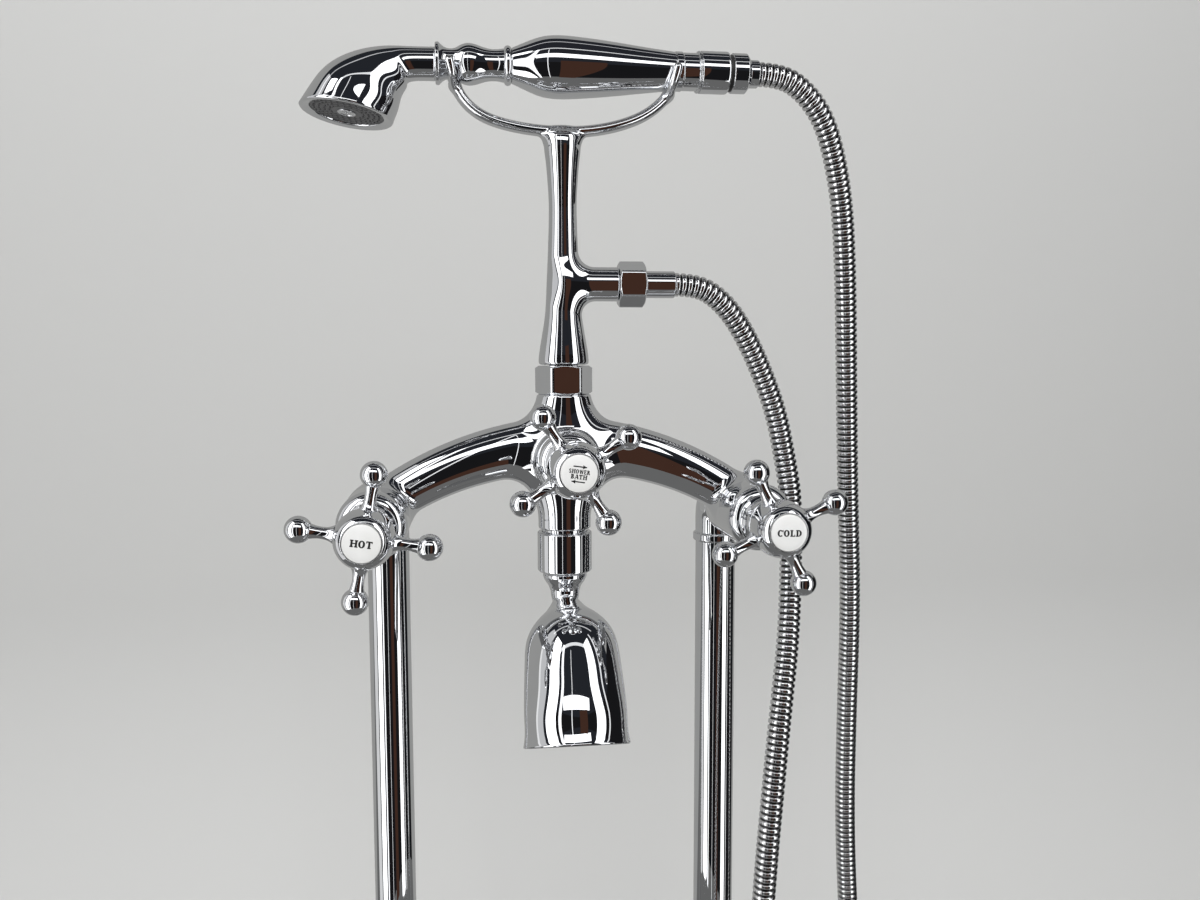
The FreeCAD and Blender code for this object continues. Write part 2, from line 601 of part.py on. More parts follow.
def fork(x, radius):
    """Open half ring round the handset, in the plane across its axis, with rounded tips."""
    centre = spot(x, 0, HANDSET_HEIGHT)
    lift = -FORK_TIP_DROP
    side = math.sqrt(radius ** 2 - lift ** 2)
    tips = [centre + V(0, s * side, lift) for s in (-1, 1)]
    bottom = centre - Z * radius
    path = Part.Wire(Part.Arc(tips[0], bottom, tips[1]).toShape())
    edge = path.Edges[0]
    tangent = edge.tangentAt(edge.FirstParameter)
    shape = path.makePipeShell([circle(edge.valueAt(edge.FirstParameter), tangent, FORK_ROD_R)], True, True)
    for tip in tips:
        shape = shape.fuse(Part.makeSphere(FORK_ROD_R, tip))
    return shape.removeSplitter()


def cradle_strap():
    """Oval strap from the left fork down over the stem and up to the right fork."""
    # rise of the line over its lowest point
    route = [(FORK_LEFT_X + 0.6, 24.2), (-60.6, 20.2), (-55.0, 13.6), (-46.0, 7.7), (-33.0, 3.4), (-15.0, 0.6), (0.0, 0.0),
             (15.0, 0.8), (35.0, 4.7), (49.0, 10.0), (58.5, 16.0), (FORK_RIGHT_X - 1.0, 21.6)]
    points = [spot(x, 0, HANDSET_HEIGHT - CRADLE_DROP + rise) for x, rise in route]
    start = (points[1] - points[0]).normalize()
    oval = Part.Ellipse(V(0, 0, 0), CRADLE_STRAP_W / 2, CRADLE_STRAP_T / 2)
    section = Part.Wire(oval.toShape())
    up = start.cross(Y)
    matrix = FreeCAD.Matrix(
        Y.x, up.x, start.x, points[0].x, Y.y, up.y, start.y, points[0].y, Y.z, up.z, start.z, points[0].z, 0, 0, 0, 1)
    section.Placement = FreeCAD.Placement(matrix)
    return swept(points, section)


def riser():
    """Turned riser with the hose branch on its right and the forked cradle on its top, one casting."""
    foot = RISER_FOOT
    low = foot + RISER_FOOT_H
    top = HANDSET_HEIGHT - CRADLE_DROP
    dome = top - STEM_DOME_H
    edges = line((foot, RISER_FOOT_R - 0.6), (foot + RISER_FOOT_H / 2, RISER_FOOT_R), (low, RISER_FOOT_R))
    edges += curve(*[(low + share * (dome - low), radius) for share, radius in STEM_PROFILE])
    edges += arc((dome, STEM_PROFILE[-1][1]), (top - STEM_DOME_H / 3, STEM_PROFILE[-1][1] * 0.81), (top, 0))
    stem = turned(edges, spot(0, 0, 0), Z)
    branch = rod(BRANCH_R, spot(0, 0, BRANCH_HEIGHT), spot(BRANCH_END, 0, BRANCH_HEIGHT))
    shape = stem.fuse(branch).removeSplitter()
    joins = [e for e in shape.Edges if is_join(e) and 5 < e.CenterOfMass.x < 14]
    shape = shape.makeFillet(BRANCH_FILLET, joins)
    thread = rod(HOSE_THREAD_R, spot(BRANCH_END - 1, 0, BRANCH_HEIGHT),
                 spot(BRANCH_END + HOSE_THREAD_L, 0, BRANCH_HEIGHT))
    shape = shape.fuse(thread)
    shape = shape.fuse(cradle_strap())
    shape = shape.fuse(fork(FORK_LEFT_X, HANDSET_NECK_R + 0.4 + FORK_ROD_R))
    shape = shape.fuse(fork(FORK_RIGHT_X, HANDSET_TAIL_R + 0.5 + FORK_ROD_R))
    shape = shape.cut(rod(RISER_TAIL_R + FIT, spot(0, 0, foot), spot(0, 0, foot + 9)))
    shape = shape.cut(rod(RISER_BORE_R, spot(0, 0, foot + 9), spot(0, 0, BRANCH_HEIGHT)))
    return shape.cut(
        rod(BRANCH_BORE_R, spot(0, 0, BRANCH_HEIGHT), spot(BRANCH_END + HOSE_THREAD_L, 0, BRANCH_HEIGHT)))


# ---- hose ------------------------------------------------------------------------------------
def hose_nut():
    start, end = BRANCH_END + 0.2, BRANCH_END + 0.2 + HOSE_NUT_L
    h = BRANCH_HEIGHT
    nut = hexagon(HOSE_NUT_AF, HOSE_NUT_L, spot(start, 0, h), X)
    nut = nut.cut(rod(HOSE_THREAD_R + FIT, spot(start, 0, h), spot(end - LIP_T, 0, h)))
    return nut.cut(rod(HOSE_STEM_R + FIT, spot(start, 0, h), spot(end, 0, h)))


def hose_washer():
    start = BRANCH_END + HOSE_THREAD_L
    return tube(HOSE_THREAD_R - FIT, BRANCH_BORE_R,
                spot(start, 0, BRANCH_HEIGHT), spot(start + 1.5, 0, BRANCH_HEIGHT))


def ferrule_lower():
    """Ferrule of the hose's branch end: flange and stem inside the nut, plain sleeve outside it."""
    flange = BRANCH_END + HOSE_THREAD_L + 1.5
    nut_end = BRANCH_END + 0.2 + HOSE_NUT_L
    edges = line(
        (flange, HOSE_THREAD_R - FIT), (nut_end - LIP_T - FIT, HOSE_THREAD_R - FIT), (nut_end - LIP_T - FIT, HOSE_STEM_R),
        (nut_end + 0.5, HOSE_STEM_R), (nut_end + 0.5, FERRULE_R - 0.5), (nut_end + 1.0, FERRULE_R),
        (HOSE_START_X - 0.5, FERRULE_R), (HOSE_START_X, FERRULE_R - 0.5))
    shape = turned(edges, spot(0, 0, BRANCH_HEIGHT), X)
    return shape.cut(rod(HOSE_BORE_R, spot(flange, 0, BRANCH_HEIGHT), spot(HOSE_START_X, 0, BRANCH_HEIGHT)))


def hose_route():
    """Corners of the hose's route: branch, down on the right, a loop near the floor, up to the handset."""
    corners = [spot(x, -y, z) for x, y, z in HOSE_DOWN]
    low = HOSE_DOWN[-1]
    r = HOSE_LOOP_R
    for u, drop in ((0, 20.4), (20.4, 55.6), (55.6, r), (2 * r - 55.6, r), (2 * r - 20.4, 55.6), (2 * r, 20.4)):
        corners.append(spot(low[0] + u * HOSE_LOOP_WAY[0], -(low[1] + u * HOSE_LOOP_WAY[1]), HOSE_LOOP_HEIGHT - drop))
    corners += [spot(x, -y, z) for x, y, z in reversed(HOSE_UP)]
    return corners


def hose():
    """The hose as a plain round bar: straight runs joined by tangent arcs."""
    corners = hose_route()
    edges, radii, length = [], [], 0.0
    here = corners[0]
    for before, corner, after in zip(corners, corners[1:], corners[2:]):
        arriving, leaving = (corner - before), (after - corner)
        shorter = min(arriving.Length, leaving.Length)
        arriving.normalize()
        leaving.normalize()
        half_turn = arriving.getAngle(leaving) / 2
        radius = 0.45 * shorter / math.tan(half_turn)
        inset = 0.45 * shorter
        start, end = corner - arriving * inset, corner + leaving * inset
        inward = (leaving - arriving).normalize()
        middle = corner + inward * (radius / math.cos(half_turn) - radius)
        edges.append(Part.LineSegment(here, start).toShape())
        edges.append(Part.Arc(start, middle, end).toShape())
        radii.append(round(radius))
        here = end
    edges.append(Part.LineSegment(here, corners[-1]).toShape())
    path = Part.Wire(edges)
    shape = path.makePipeShell([circle(corners[0], X, HOSE_R)], True, True)
    print("hose radii", radii, "length", round(path.Length, 1), "lowest", round(path.BoundBox.ZMin))
    print("hose volume", round(shape.Volume), "section x length", round(math.pi * HOSE_R ** 2 * path.Length))
    return shape


# ---- handset, along X from its head to its hose end ------------------------------------------
def along_handset(edges):
    return turned(edges, spot(0, 0, HANDSET_HEIGHT), X)


def handset_bar(radius, start, end):
    return rod(radius, spot(start, 0, HANDSET_HEIGHT), spot(end, 0, HANDSET_HEIGHT))


def baluster():
    """Flared collar and turned neck between the head and the handle."""
    edges = line((NECK_X, 11.6), (NECK_X + 0.4, 12.0), (NECK_X + 1.8, 12.0), (NECK_X + 2.2, 11.6))
    edges += curve((NECK_X + 2.2, 11.6), (-68.4, 10.1), (-66.5, 9.0), (-64.5, HANDSET_NECK_R), (-61.5, 8.9),
                   (-57.8, 10.8), (-53.7, 11.8), (-49.2, 11.2), (-44.0, 9.6), (-38.5, 9.0), (RING_X - 2.2, 9.6))
    edges += line((RING_X - 2.2, 9.6), (RING_X - 2.2, 10.4))
    edges += arc((RING_X - 2.2, 10.4), (RING_X, 11.1), (RING_X + 2.2, 10.4))
    shape = along_handset(edges)
    shape = shape.fuse(handset_bar(SPIGOT_R, NECK_X - 7, NECK_X + 1))
    shape = shape.fuse(handset_bar(SPIGOT_R, RING_X, RING_X + 9)).removeSplitter()
    return shape.cut(handset_bar(HANDSET_BORE_R, NECK_X - 7, RING_X + 9))


def handle():
    """Swelling handle of the handset."""
    start = RING_X + 2.2
    edges = curve(*[(start + share * (END_RING_X - start), radius) for share, radius in HANDLE_PROFILE])
    shape = along_handset(edges)
    shape = shape.cut(handset_bar(HANDSET_BORE_R, start, END_RING_X))
    shape = shape.cut(handset_bar(SPIGOT_R + FIT, start, RING_X + 9 + GAP))
    return shape.cut(handset_bar(SPIGOT_R + FIT, END_RING_X - 9 - GAP, END_RING_X))


def tail():
    """End ring, plain tail and bead, with the thread for the hose's nut."""
    edges = line((END_RING_X, 10.9), (END_RING_X + 0.4, 11.4), (END_RING_X + 4.2, 11.4), (END_RING_X + 4.6, 11.2),
                 (TAIL_BEAD_X, 11.2))
    edges += arc((TAIL_BEAD_X, 11.2), (TAIL_BEAD_X + 0.6, 12.3), (NUT_A_X - FIT, 11.8))
    edges += line((NUT_A_X - FIT, 11.8), (NUT_A_X - FIT, HANDSET_THREAD_R), (HANDSET_THREAD_END, HANDSET_THREAD_R))
    shape = along_handset(edges)
    shape = shape.fuse(handset_bar(SPIGOT_R, END_RING_X - 9, END_RING_X + 1)).removeSplitter()
    return shape.cut(handset_bar(HANDSET_BORE_R, END_RING_X - 9, HANDSET_THREAD_END))


def handset_nut():
    """Round swivel nut on the handset's tail."""
    edges = line((NUT_A_X, HANDSET_NUT_R - 0.5), (NUT_A_X + 0.5, HANDSET_NUT_R), (96.5, HANDSET_NUT_R))
    edges += arc((96.5, HANDSET_NUT_R), (97.6, HANDSET_NUT_R - 0.5), (98.0, 11.2))
    shape = along_handset(edges)
    shape = shape.cut(handset_bar(HANDSET_THREAD_R + FIT, NUT_A_X, CONE_FLANGE_X + 1.8 + FIT))
    return shape.cut(handset_bar(CONE_STEM_R + FIT, NUT_A_X, 98.0))


def handset_washer():
    return handset_bar(HANDSET_THREAD_R - FIT, HANDSET_THREAD_END, CONE_FLANGE_X).cut(
        handset_bar(HOSE_BORE_R, HANDSET_THREAD_END, CONE_FLANGE_X))


def cone():
    """Hose end cone: flange and stem inside the nut, chamfered collar outside it."""
    edges = line(
        (CONE_FLANGE_X, HANDSET_THREAD_R - FIT), (CONE_FLANGE_X + 1.8, HANDSET_THREAD_R - FIT),
        (CONE_FLANGE_X + 1.8, CONE_STEM_R), (99.9, CONE_STEM_R), (99.9, CONE_R - 0.4), (100.3, CONE_R), (108.6, CONE_R),
        (110.8, FERRULE_R + 0.6))
    shape = along_handset(edges)
    shape = shape.cut(handset_bar(HOSE_BORE_R, CONE_FLANGE_X, 110.8))
    return shape.cut(handset_bar(HOSE_STEM_R - 0.8 + FIT, 104.0, 110.8))


def cone_ring():
    """Black ring between the nut and the cone's collar."""
    return handset_bar(11.0, 98.05, 99.85).cut(handset_bar(CONE_STEM_R + FIT, 98.05, 99.85))


def ferrule_upper():
    edges = line((104.05, HOSE_STEM_R - 0.8), (110.85, HOSE_STEM_R - 0.8), (110.85, FERRULE_R - 0.4), (111.2, FERRULE_R),
                 (HOSE_END_X - 0.5, FERRULE_R), (HOSE_END_X, FERRULE_R - 0.5))
    shape = along_handset(edges)
    return shape.cut(handset_bar(HOSE_BORE_R, 104.05, HOSE_END_X))


def head_sections(inset):
    """Circles through which the head is drawn, from the neck round to the rim."""
    return [
        hoop(spot(x, 0, HANDSET_HEIGHT - drop), radius - inset, Y, 270 - tilt) for x, drop, radius, tilt in HEAD_SECTIONS]


def rolled(shape):
    """Rolls a piece of the head about the handset's axis, towards the bather."""
    shape.rotate(spot(0, 0, HANDSET_HEIGHT), X, -HANDSET_ROLL)
    return shape


def face_way():
    a = math.radians(90 - FACE_TILT)
    return V(-math.cos(a), 0, -math.sin(a))


def handset_head():
    """Curved hollow head that widens to the round spray face."""
    way = face_way()
    rim = spot(FACE_X, 0, HANDSET_HEIGHT - FACE_DROP)
    shape = Part.makeLoft(head_sections(0), True, False)
    shape = shape.fuse(handset_bar(9.2, NECK_X - 1, NECK_X)).removeSplitter()
    shape = shape.cut(rod(PLATE_R + FIT, rim - way * (PLATE_T + 0.6), rim + way * 3))
    hollow = Part.makeLoft(head_sections(2.6)[1:-1], True, False)
    shape = shape.cut(hollow)
    shape = shape.cut(handset_bar(SPIGOT_R + FIT, NECK_X - 7 - GAP, NECK_X + 1))
    shape = shape.cut(handset_bar(HANDSET_BORE_R, NECK_X - 14, NECK_X))
    shape = shape.cut(rod(PLATE_R - 4, rim - way * 8, rim))
    return rolled(shape)


def spray_plate():
    """Grey spray plate with a hole for the centre jet."""
    way = face_way()
    rim = spot(FACE_X, 0, HANDSET_HEIGHT - FACE_DROP)
    shape = rod(PLATE_R, rim - way * (PLATE_T + 0.6), rim - way * 0.6)
    return rolled(shape.cut(rod(JET_R + FIT, rim - way * (PLATE_T + 1), rim + way)))


def spray_jet():
    way = face_way()
    rim = spot(FACE_X, 0, HANDSET_HEIGHT - FACE_DROP)
    shape = rod(JET_R, rim - way * (PLATE_T + 0.6), rim - way * 0.1)
    return rolled(shape.cut(rod(1.6, rim - way * (PLATE_T + 0.6), rim)))


# ---- spout -----------------------------------------------------------------------------------
def spout_collar():
    """Collar screwed on the barrel's nipple; its lip holds the spout and lets it swivel."""
    edges = line((COLLAR_BOTTOM, COLLAR_R - 0.8), (COLLAR_BOTTOM + 0.8, COLLAR_R), (COLLAR_TOP - 0.8, COLLAR_R),
                 (COLLAR_TOP, COLLAR_R - 0.8))
    shape = turned(edges, spot(0, 0, 0), Z)
    shape = shape.cut(rod(NIPPLE_R + FIT, spot(0, 0, SPOUT_LIP_Z), spot(0, 0, COLLAR_TOP)))
    return shape.cut(rod(SPOUT_NECK_R + FIT, spot(0, 0, COLLAR_BOTTOM), spot(0, 0, COLLAR_TOP)))


def slip_rings():
    """Slip rings above and below the spout's flange, inside the collar."""
    rings = []
    for low, high in ((SPOUT_LIP_Z, SPOUT_LIP_Z + 1.2), (NIPPLE_BOTTOM - 1.2, NIPPLE_BOTTOM)):
        rings.append(tube(NIPPLE_R - FIT, SPOUT_NECK_R + FIT, spot(0, 0, low), spot(0, 0, high)))
    return compound(rings)


def spout_wires(inset, sections):
    return [hoop(spot(0, forward, z), radius - inset, X, 180 - tilt) for forward, z, radius, tilt in sections]


def spout():
    """Bell mouthed spout: shank in the body, flange in the collar, cup, neck and opening horn."""
    shank_top = SEAT_TOP - GAP
    edges = line((shank_top, SPOUT_SHANK_R - 0.6), (shank_top - 0.6, SPOUT_SHANK_R),
                 (NIPPLE_BOTTOM - 1.2 - FIT, SPOUT_SHANK_R), (NIPPLE_BOTTOM - 1.2 - FIT, NIPPLE_R - FIT),
                 (SPOUT_LIP_Z + 1.2 + FIT, NIPPLE_R - FIT), (SPOUT_LIP_Z + 1.2 + FIT, SPOUT_NECK_R),
                 (CUP_TOP, SPOUT_NECK_R), (CUP_TOP, CUP_R - 0.8), (CUP_TOP - 0.8, CUP_R), (CUP_TOP - CUP_H, CUP_R))
    edges += curve((CUP_TOP - CUP_H, CUP_R), (CUP_TOP - 5.0, 12.2), (CUP_TOP - 8.0, 10.2), (CUP_TOP - 11.5, 9.0))
    shape = turned(edges, spot(0, 0, 0), Z)
    horn = Part.makeLoft(spout_wires(0, SPOUT_SECTIONS), True, False)
    shape = shape.fuse(horn)
    for seal_z in SPOUT_SEAL_Z:
        shape = shape.cut(ring(SPOUT_SHANK_R, SEAL_R, spot(0, 0, seal_z), Z))
    horn_top = SPOUT_SECTIONS[0][1]
    shape = shape.cut(rod(SPOUT_BORE_R, spot(0, 0, shank_top), spot(0, 0, horn_top)))
    forward, z, radius, tilt = SPOUT_SECTIONS[-1]
    a = math.radians(tilt)
    start = (0, horn_top + 1.0, SPOUT_BORE_R + 0.2 + SPOUT_WALL, 0)
    beyond = (forward + 4 * math.sin(a), z - 4 * math.cos(a), radius + 0.3, tilt)
    hollow = Part.makeLoft(spout_wires(SPOUT_WALL, [start] + SPOUT_SECTIONS[1:] + [beyond]), True, False)
    return shape.cut(hollow)


def spout_seals():
    seals = []
    for seal_z in SPOUT_SEAL_Z:
        seal = ring(SPOUT_SHANK_R - FIT, SEAL_R - FIT, spot(0, 0, seal_z), Z)
        seals.append(seal.common(rod(SPOUT_SHANK_R, spot(0, 0, seal_z - 3), spot(0, 0, seal_z + 3))))
    return compound(seals)


# ---- all pieces ------------------------------------------------------------------------------
VALVES = {
    "hot": (-HALF_SPACING, 0.0, CHEST_FRONT),
    "cold": (HALF_SPACING, 0.0, CHEST_FRONT),
    "diverter": (0.0, DIVERTER_RISE, DIVERTER_FRONT),
}
PARTS = {}


def build():
    for side, sign in SIDES.items():
        x = sign * HALF_SPACING
        PARTS[side + "_floor_flange"] = floor_flange(x)
        PARTS[side + "_flange_cover"] = flange_cover(x)
        PARTS[side + "_standpipe"] = standpipe(x)
        PARTS[side + "_elbow"] = elbow(x)
    xs = [sign * HALF_SPACING for sign in SIDES.values()]
    PARTS["standpipe_seals"] = compound([standpipe_seal(x) for x in xs])
    PARTS["inlet_union_nuts"] = compound([inlet_union(x) for x in xs])
    PARTS["inlet_washers"] = compound([inlet_washer(x) for x in xs])
    PARTS["mixer_body"] = mixer_body()
    for valve, (x, height, front) in VALVES.items():
        turn = HANDLE_TURN[valve]
        PARTS[valve + "_cartridge"] = cartridge(x, height, front)
        PARTS[valve + "_bonnet"] = bonnet(x, height, front)
        PARTS[valve + "_spindle"] = spindle(x, height, front)
        PARTS[valve + "_hub"] = hub(x, height, front, turn)
        PARTS[valve + "_spokes"] = spokes(x, height, front, turn)
        PARTS[valve + "_handle_screw"] = handle_screw(x, height, front)
        PARTS[valve + "_index"] = index(x, height, front)
    PARTS["riser_nut"] = riser_nut()
    PARTS["riser_washer"] = riser_washer()
    PARTS["riser_tail"] = riser_tail()
    PARTS["riser"] = riser()
    PARTS["hose_nut"] = hose_nut()
    PARTS["hose_washer"] = hose_washer()
    PARTS["hose_ferrule_lower"] = ferrule_lower()
    PARTS["hose"] = hose()
    PARTS["hose_ferrule_upper"] = ferrule_upper()
    PARTS["hose_cone"] = cone()
    PARTS["hose_cone_ring"] = cone_ring()
    PARTS["handset_nut"] = handset_nut()
    PARTS["handset_washer"] = handset_washer()
    PARTS["handset_tail"] = tail()
    PARTS["handset_handle"] = handle()
    PARTS["handset_baluster"] = baluster()
    PARTS["handset_head"] = handset_head()
    PARTS["spray_plate"] = spray_plate()
    PARTS["spray_jet"] = spray_jet()
    PARTS["spout_collar"] = spout_collar()
    PARTS["spout_slip_rings"] = slip_rings()
    PARTS["spout"] = spout()
    PARTS["spout_seals"] = spout_seals()


os.makedirs("parts", exist_ok=True)
build()
for name, shape in PARTS.items():
    solids = [s for s in shape.Solids]
    good = shape.isValid() and all(s.Volume > 0 for s in solids)
    print(name, "valid" if good else "NOT VALID", [round(s.Volume) for s in solids])
    shape.exportStep("parts/" + name + ".step")
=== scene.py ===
"""Looks of a floor standing bath filler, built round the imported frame.

Sizes are millimetres in the mixer's own frame: the origin is on the riser's axis at the height of the hot
and cold valve axes, +X is to the right seen from the front, +Y is away from the bather and +Z is up.
``Piece.make`` moves them into the row's frame and turns them into metres.
"""

import json
import logging
import math
from dataclasses import dataclass, field
from enum import Enum
from typing import Callable, Optional, Sequence

import bpy
import numpy as np
from mathutils import Matrix

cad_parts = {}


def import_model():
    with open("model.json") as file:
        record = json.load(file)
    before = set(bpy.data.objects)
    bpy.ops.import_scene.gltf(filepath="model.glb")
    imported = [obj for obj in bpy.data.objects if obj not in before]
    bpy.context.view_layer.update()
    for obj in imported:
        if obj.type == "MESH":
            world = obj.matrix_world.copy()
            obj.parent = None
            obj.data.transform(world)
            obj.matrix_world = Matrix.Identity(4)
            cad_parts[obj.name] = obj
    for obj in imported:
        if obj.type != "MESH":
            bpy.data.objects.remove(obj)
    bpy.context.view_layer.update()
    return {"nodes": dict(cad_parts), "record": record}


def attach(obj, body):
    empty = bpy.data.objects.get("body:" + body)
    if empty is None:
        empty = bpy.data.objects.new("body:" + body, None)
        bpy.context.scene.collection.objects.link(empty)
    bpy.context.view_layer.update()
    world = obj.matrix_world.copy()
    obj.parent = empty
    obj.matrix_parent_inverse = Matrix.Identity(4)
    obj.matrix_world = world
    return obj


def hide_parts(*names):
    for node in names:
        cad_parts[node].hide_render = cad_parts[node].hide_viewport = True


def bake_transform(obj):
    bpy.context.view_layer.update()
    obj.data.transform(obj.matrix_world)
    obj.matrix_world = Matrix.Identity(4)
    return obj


Array = np.ndarray
Field = Callable[[Array], Array]

log = logging.getLogger("bath_filler")

MM = 0.001
BODY_REACH = 68.5
VALVE_HEIGHT = 800.0
HALF_SPACING = 110.0
HANDSET_HEIGHT = 259.0
BRANCH_HEIGHT = 135.4
MIXER_ORIGIN = np.array([0.0, -BODY_REACH, VALVE_HEIGHT])

RIGHT = np.array([1.0, 0.0, 0.0])
AWAY = np.array([0.0, 1.0, 0.0])
FORWARD = np.array([0.0, -1.0, 0.0])
UP = np.array([0.0, 0.0, 1.0])
DOWN = -UP


class Body(Enum):
    """The rigid bodies that pieces ride on."""

    MIXER = "mixer"
    HOT = "hot_handle"
    COLD = "cold_handle"
    DIVERTER = "diverter_handle"
    SPOUT = "spout_body"
    HANDSET = "handset"


# ---- surfaces ----------------------------------------------------------------------------------------------
@dataclass
class Skin:
    """A surface in millimetres, in the mixer's frame.

    Attributes:
        points: Vertices, one row of x, y, z each.
        faces: Arrays of vertex numbers, one array for each number of corners.
        normals: Vertex normals where a formula gives them, or None for plain smooth shading.
        groove: How deep each point lies in a groove, from 0 to 1, where the finish paints shade into its colour.
    """

    points: Array
    faces: list[Array]
    normals: Optional[Array] = None
    groove: Optional[Array] = None

    @staticmethod
    def joined(skins: Sequence["Skin"]) -> "Skin":
        """Puts several plain skins together as one.

        Args:
            skins: The skins, which have neither normals nor grooves.

        Returns:
            One skin with all their points and faces.
        """
        points, faces, shift = [], [], 0
        for skin in skins:
            points.append(skin.points)
            faces += [f + shift for f in skin.faces]
            shift += len(skin.points)
        return Skin(np.concatenate(points), faces)

    def rolled(self, degrees: float) -> "Skin":
        """Turns a plain skin about the handset's axis, positive towards the bather at its lower side."""
        a = math.radians(-degrees)
        turn = np.array([[1, 0, 0], [0, math.cos(a), -math.sin(a)], [0, math.sin(a), math.cos(a)]])
        centre = np.array([0.0, 0.0, HANDSET_HEIGHT])
        return Skin((self.points - centre) @ turn.T + centre, self.faces)


def unit(vector: Array) -> Array:
    """Scales vectors along the last axis to length one."""
    return vector / np.maximum(np.linalg.norm(vector, axis=-1, keepdims=True), 1e-12)


def curve(points: Sequence[Sequence[float]], count: int = 24) -> Array:
    """Natural cubic spline through points, by chord length.

    The second derivatives solve the usual three-term system, with zero at both ends.

    Args:
        points: The points it passes through.
        count: How many points to give back.

    Returns:
        Points along the spline.
    """
    p = np.asarray(points, float)
    t = np.concatenate([[0.0], np.cumsum(np.linalg.norm(np.diff(p, axis=0), axis=1))])
    h = np.diff(t)
    n = len(p)
    system = np.eye(n)
    right = np.zeros_like(p)
    for i in range(1, n - 1):
        system[i, i - 1:i + 2] = h[i - 1], 2 * (h[i - 1] + h[i]), h[i]
        right[i] = 6 * ((p[i + 1] - p[i]) / h[i] - (p[i] - p[i - 1]) / h[i - 1])
    second = np.linalg.solve(system, right)
    s = np.linspace(0, t[-1], count)
    i = np.clip(np.searchsorted(t, s, side="right") - 1, 0, n - 2)
    a, b = ((t[i + 1] - s) / h[i])[:, None], ((s - t[i]) / h[i])[:, None]
    step = (h[i] ** 2)[:, None] / 6
    return a * p[i] + b * p[i + 1] + ((a ** 3 - a) * second[i] + (b ** 3 - b) * second[i + 1]) * step


def round_arc(centre: tuple[float, float], radius: float, start: float, end: float, count: int = 9) -> Array:
    """Points of a circle in the (along, radius) plane, between two angles in degrees from the axis."""
    a = np.radians(np.linspace(start, end, count))
    return np.column_stack([centre[0] + radius * np.cos(a), centre[1] + radius * np.sin(a)])


def eased(outline: Sequence[Sequence[float]], ease: float = 0.35, sharp: float = 14.0) -> Array:
    """Rounds the sharp corners of a profile and puts a holding point on each side of them.

    Each corner becomes a quadratic curve between two points that lie ``ease`` from it.

    Args:
        outline: The profile's points.
        ease: How far from the corner the rounding starts.
        sharp: The turn in degrees from which a point counts as a corner.

    Returns:
        The profile with its corners rounded.
    """
    p = np.asarray(outline, float)
    out = [p[0]]
    u = np.linspace(0, 1, 5)[:, None]
    for before, here, after in zip(p, p[1:], p[2:]):
        arriving, leaving = here - before, after - here
        la, lb = np.linalg.norm(arriving), np.linalg.norm(leaving)
        if la < 1e-9 or lb < 1e-9:
            continue
        arriving, leaving = arriving / la, leaving / lb
        turn = math.degrees(math.acos(float(np.clip(arriving @ leaving, -1, 1))))
        if turn < sharp:
            out.append(here)
            continue
        cut = min(ease, 0.3 * la, 0.3 * lb)
        start, end = here - arriving * cut, here + leaving * cut
        out.append(start - arriving * min(cut, 0.3 * la))
        out.extend((1 - u) ** 2 * start + 2 * u * (1 - u) * here + u ** 2 * end)
        out.append(end + leaving * min(cut, 0.3 * lb))
    out.append(p[-1])
    return np.array(out)


def grid_faces(rows: int, columns: int, wrap_rows: bool = False) -> Array:
    """Four-sided faces of a grid whose columns close round, outwards when the rows run along the axis."""
    i = np.arange(rows if wrap_rows else rows - 1)[:, None]
    j = np.arange(columns)[None, :]
    k, m = (i + 1) % rows, (j + 1) % columns
    return np.stack([i * columns + j, i * columns + m, k * columns + m, k * columns + j], axis=-1).reshape(-1, 4)


def capped(rings: Array, start: Optional[Array] = None, end: Optional[Array] = None) -> Skin:
    """A skin of rings in order, closed to a single point at its start and end where those are given.

    Args:
        rings: Points of shape (rows, columns, 3).
        start: The pole before the first ring.
        end: The pole after the last ring.

    Returns:
        The skin.
    """
    rows, columns = rings.shape[:2]
    points = [rings.reshape(-1, 3)]
    faces = [grid_faces(rows, columns)]
    j = np.arange(columns)
    m = (j + 1) % columns
    count = rows * columns
    if start is not None:
        points.append(start[None, :])
        faces.append(np.column_stack([np.full(columns, count), m, j]))
        count += 1
    if end is not None:
        last = (rows - 1) * columns
        points.append(end[None, :])
        faces.append(np.column_stack([last + j, last + m, np.full(columns, count)]))
    return Skin(np.concatenate(points), faces)


def across(direction: Array) -> tuple[Array, Array]:
    """Two unit vectors that make a right-handed set with a direction."""
    helper = UP if abs(direction[2]) < 0.9 else RIGHT
    first = unit(np.cross(helper, direction))
    return first, np.cross(direction, first)


def turned(profile: Sequence[Sequence[float]], base: Sequence[float], direction: Array, sides: int = 72,
           closed: bool = False) -> Skin:
    """A surface of revolution: each (along, radius) point of the profile becomes a ring round the axis.

    Args:
        profile: Points of distance along the axis and radius; an end at radius 0 becomes a pole.
        base: Where the distance along the axis is zero.
        direction: The axis.
        sides: Points on each ring.
        closed: Whether the profile closes on itself, as that of a ring does.

    Returns:
        The skin.
    """
    p = np.asarray(profile, float)
    base = np.asarray(base, float)
    side, up = across(direction)
    start = base + direction * p[0, 0] if not closed and p[0, 1] < 1e-6 else None
    end = base + direction * p[-1, 0] if not closed and p[-1, 1] < 1e-6 else None
    p = p[1 if start is not None else 0:len(p) - (1 if end is not None else 0)]
    phi = np.linspace(0, 2 * math.pi, sides, endpoint=False)
    out = np.cos(phi)[:, None] * side + np.sin(phi)[:, None] * up
    rings = base + p[:, 0, None, None] * direction + p[:, 1, None, None] * out
    if closed:
        return Skin(rings.reshape(-1, 3), [grid_faces(len(p), sides, wrap_rows=True)])
    return capped(rings, start, end)


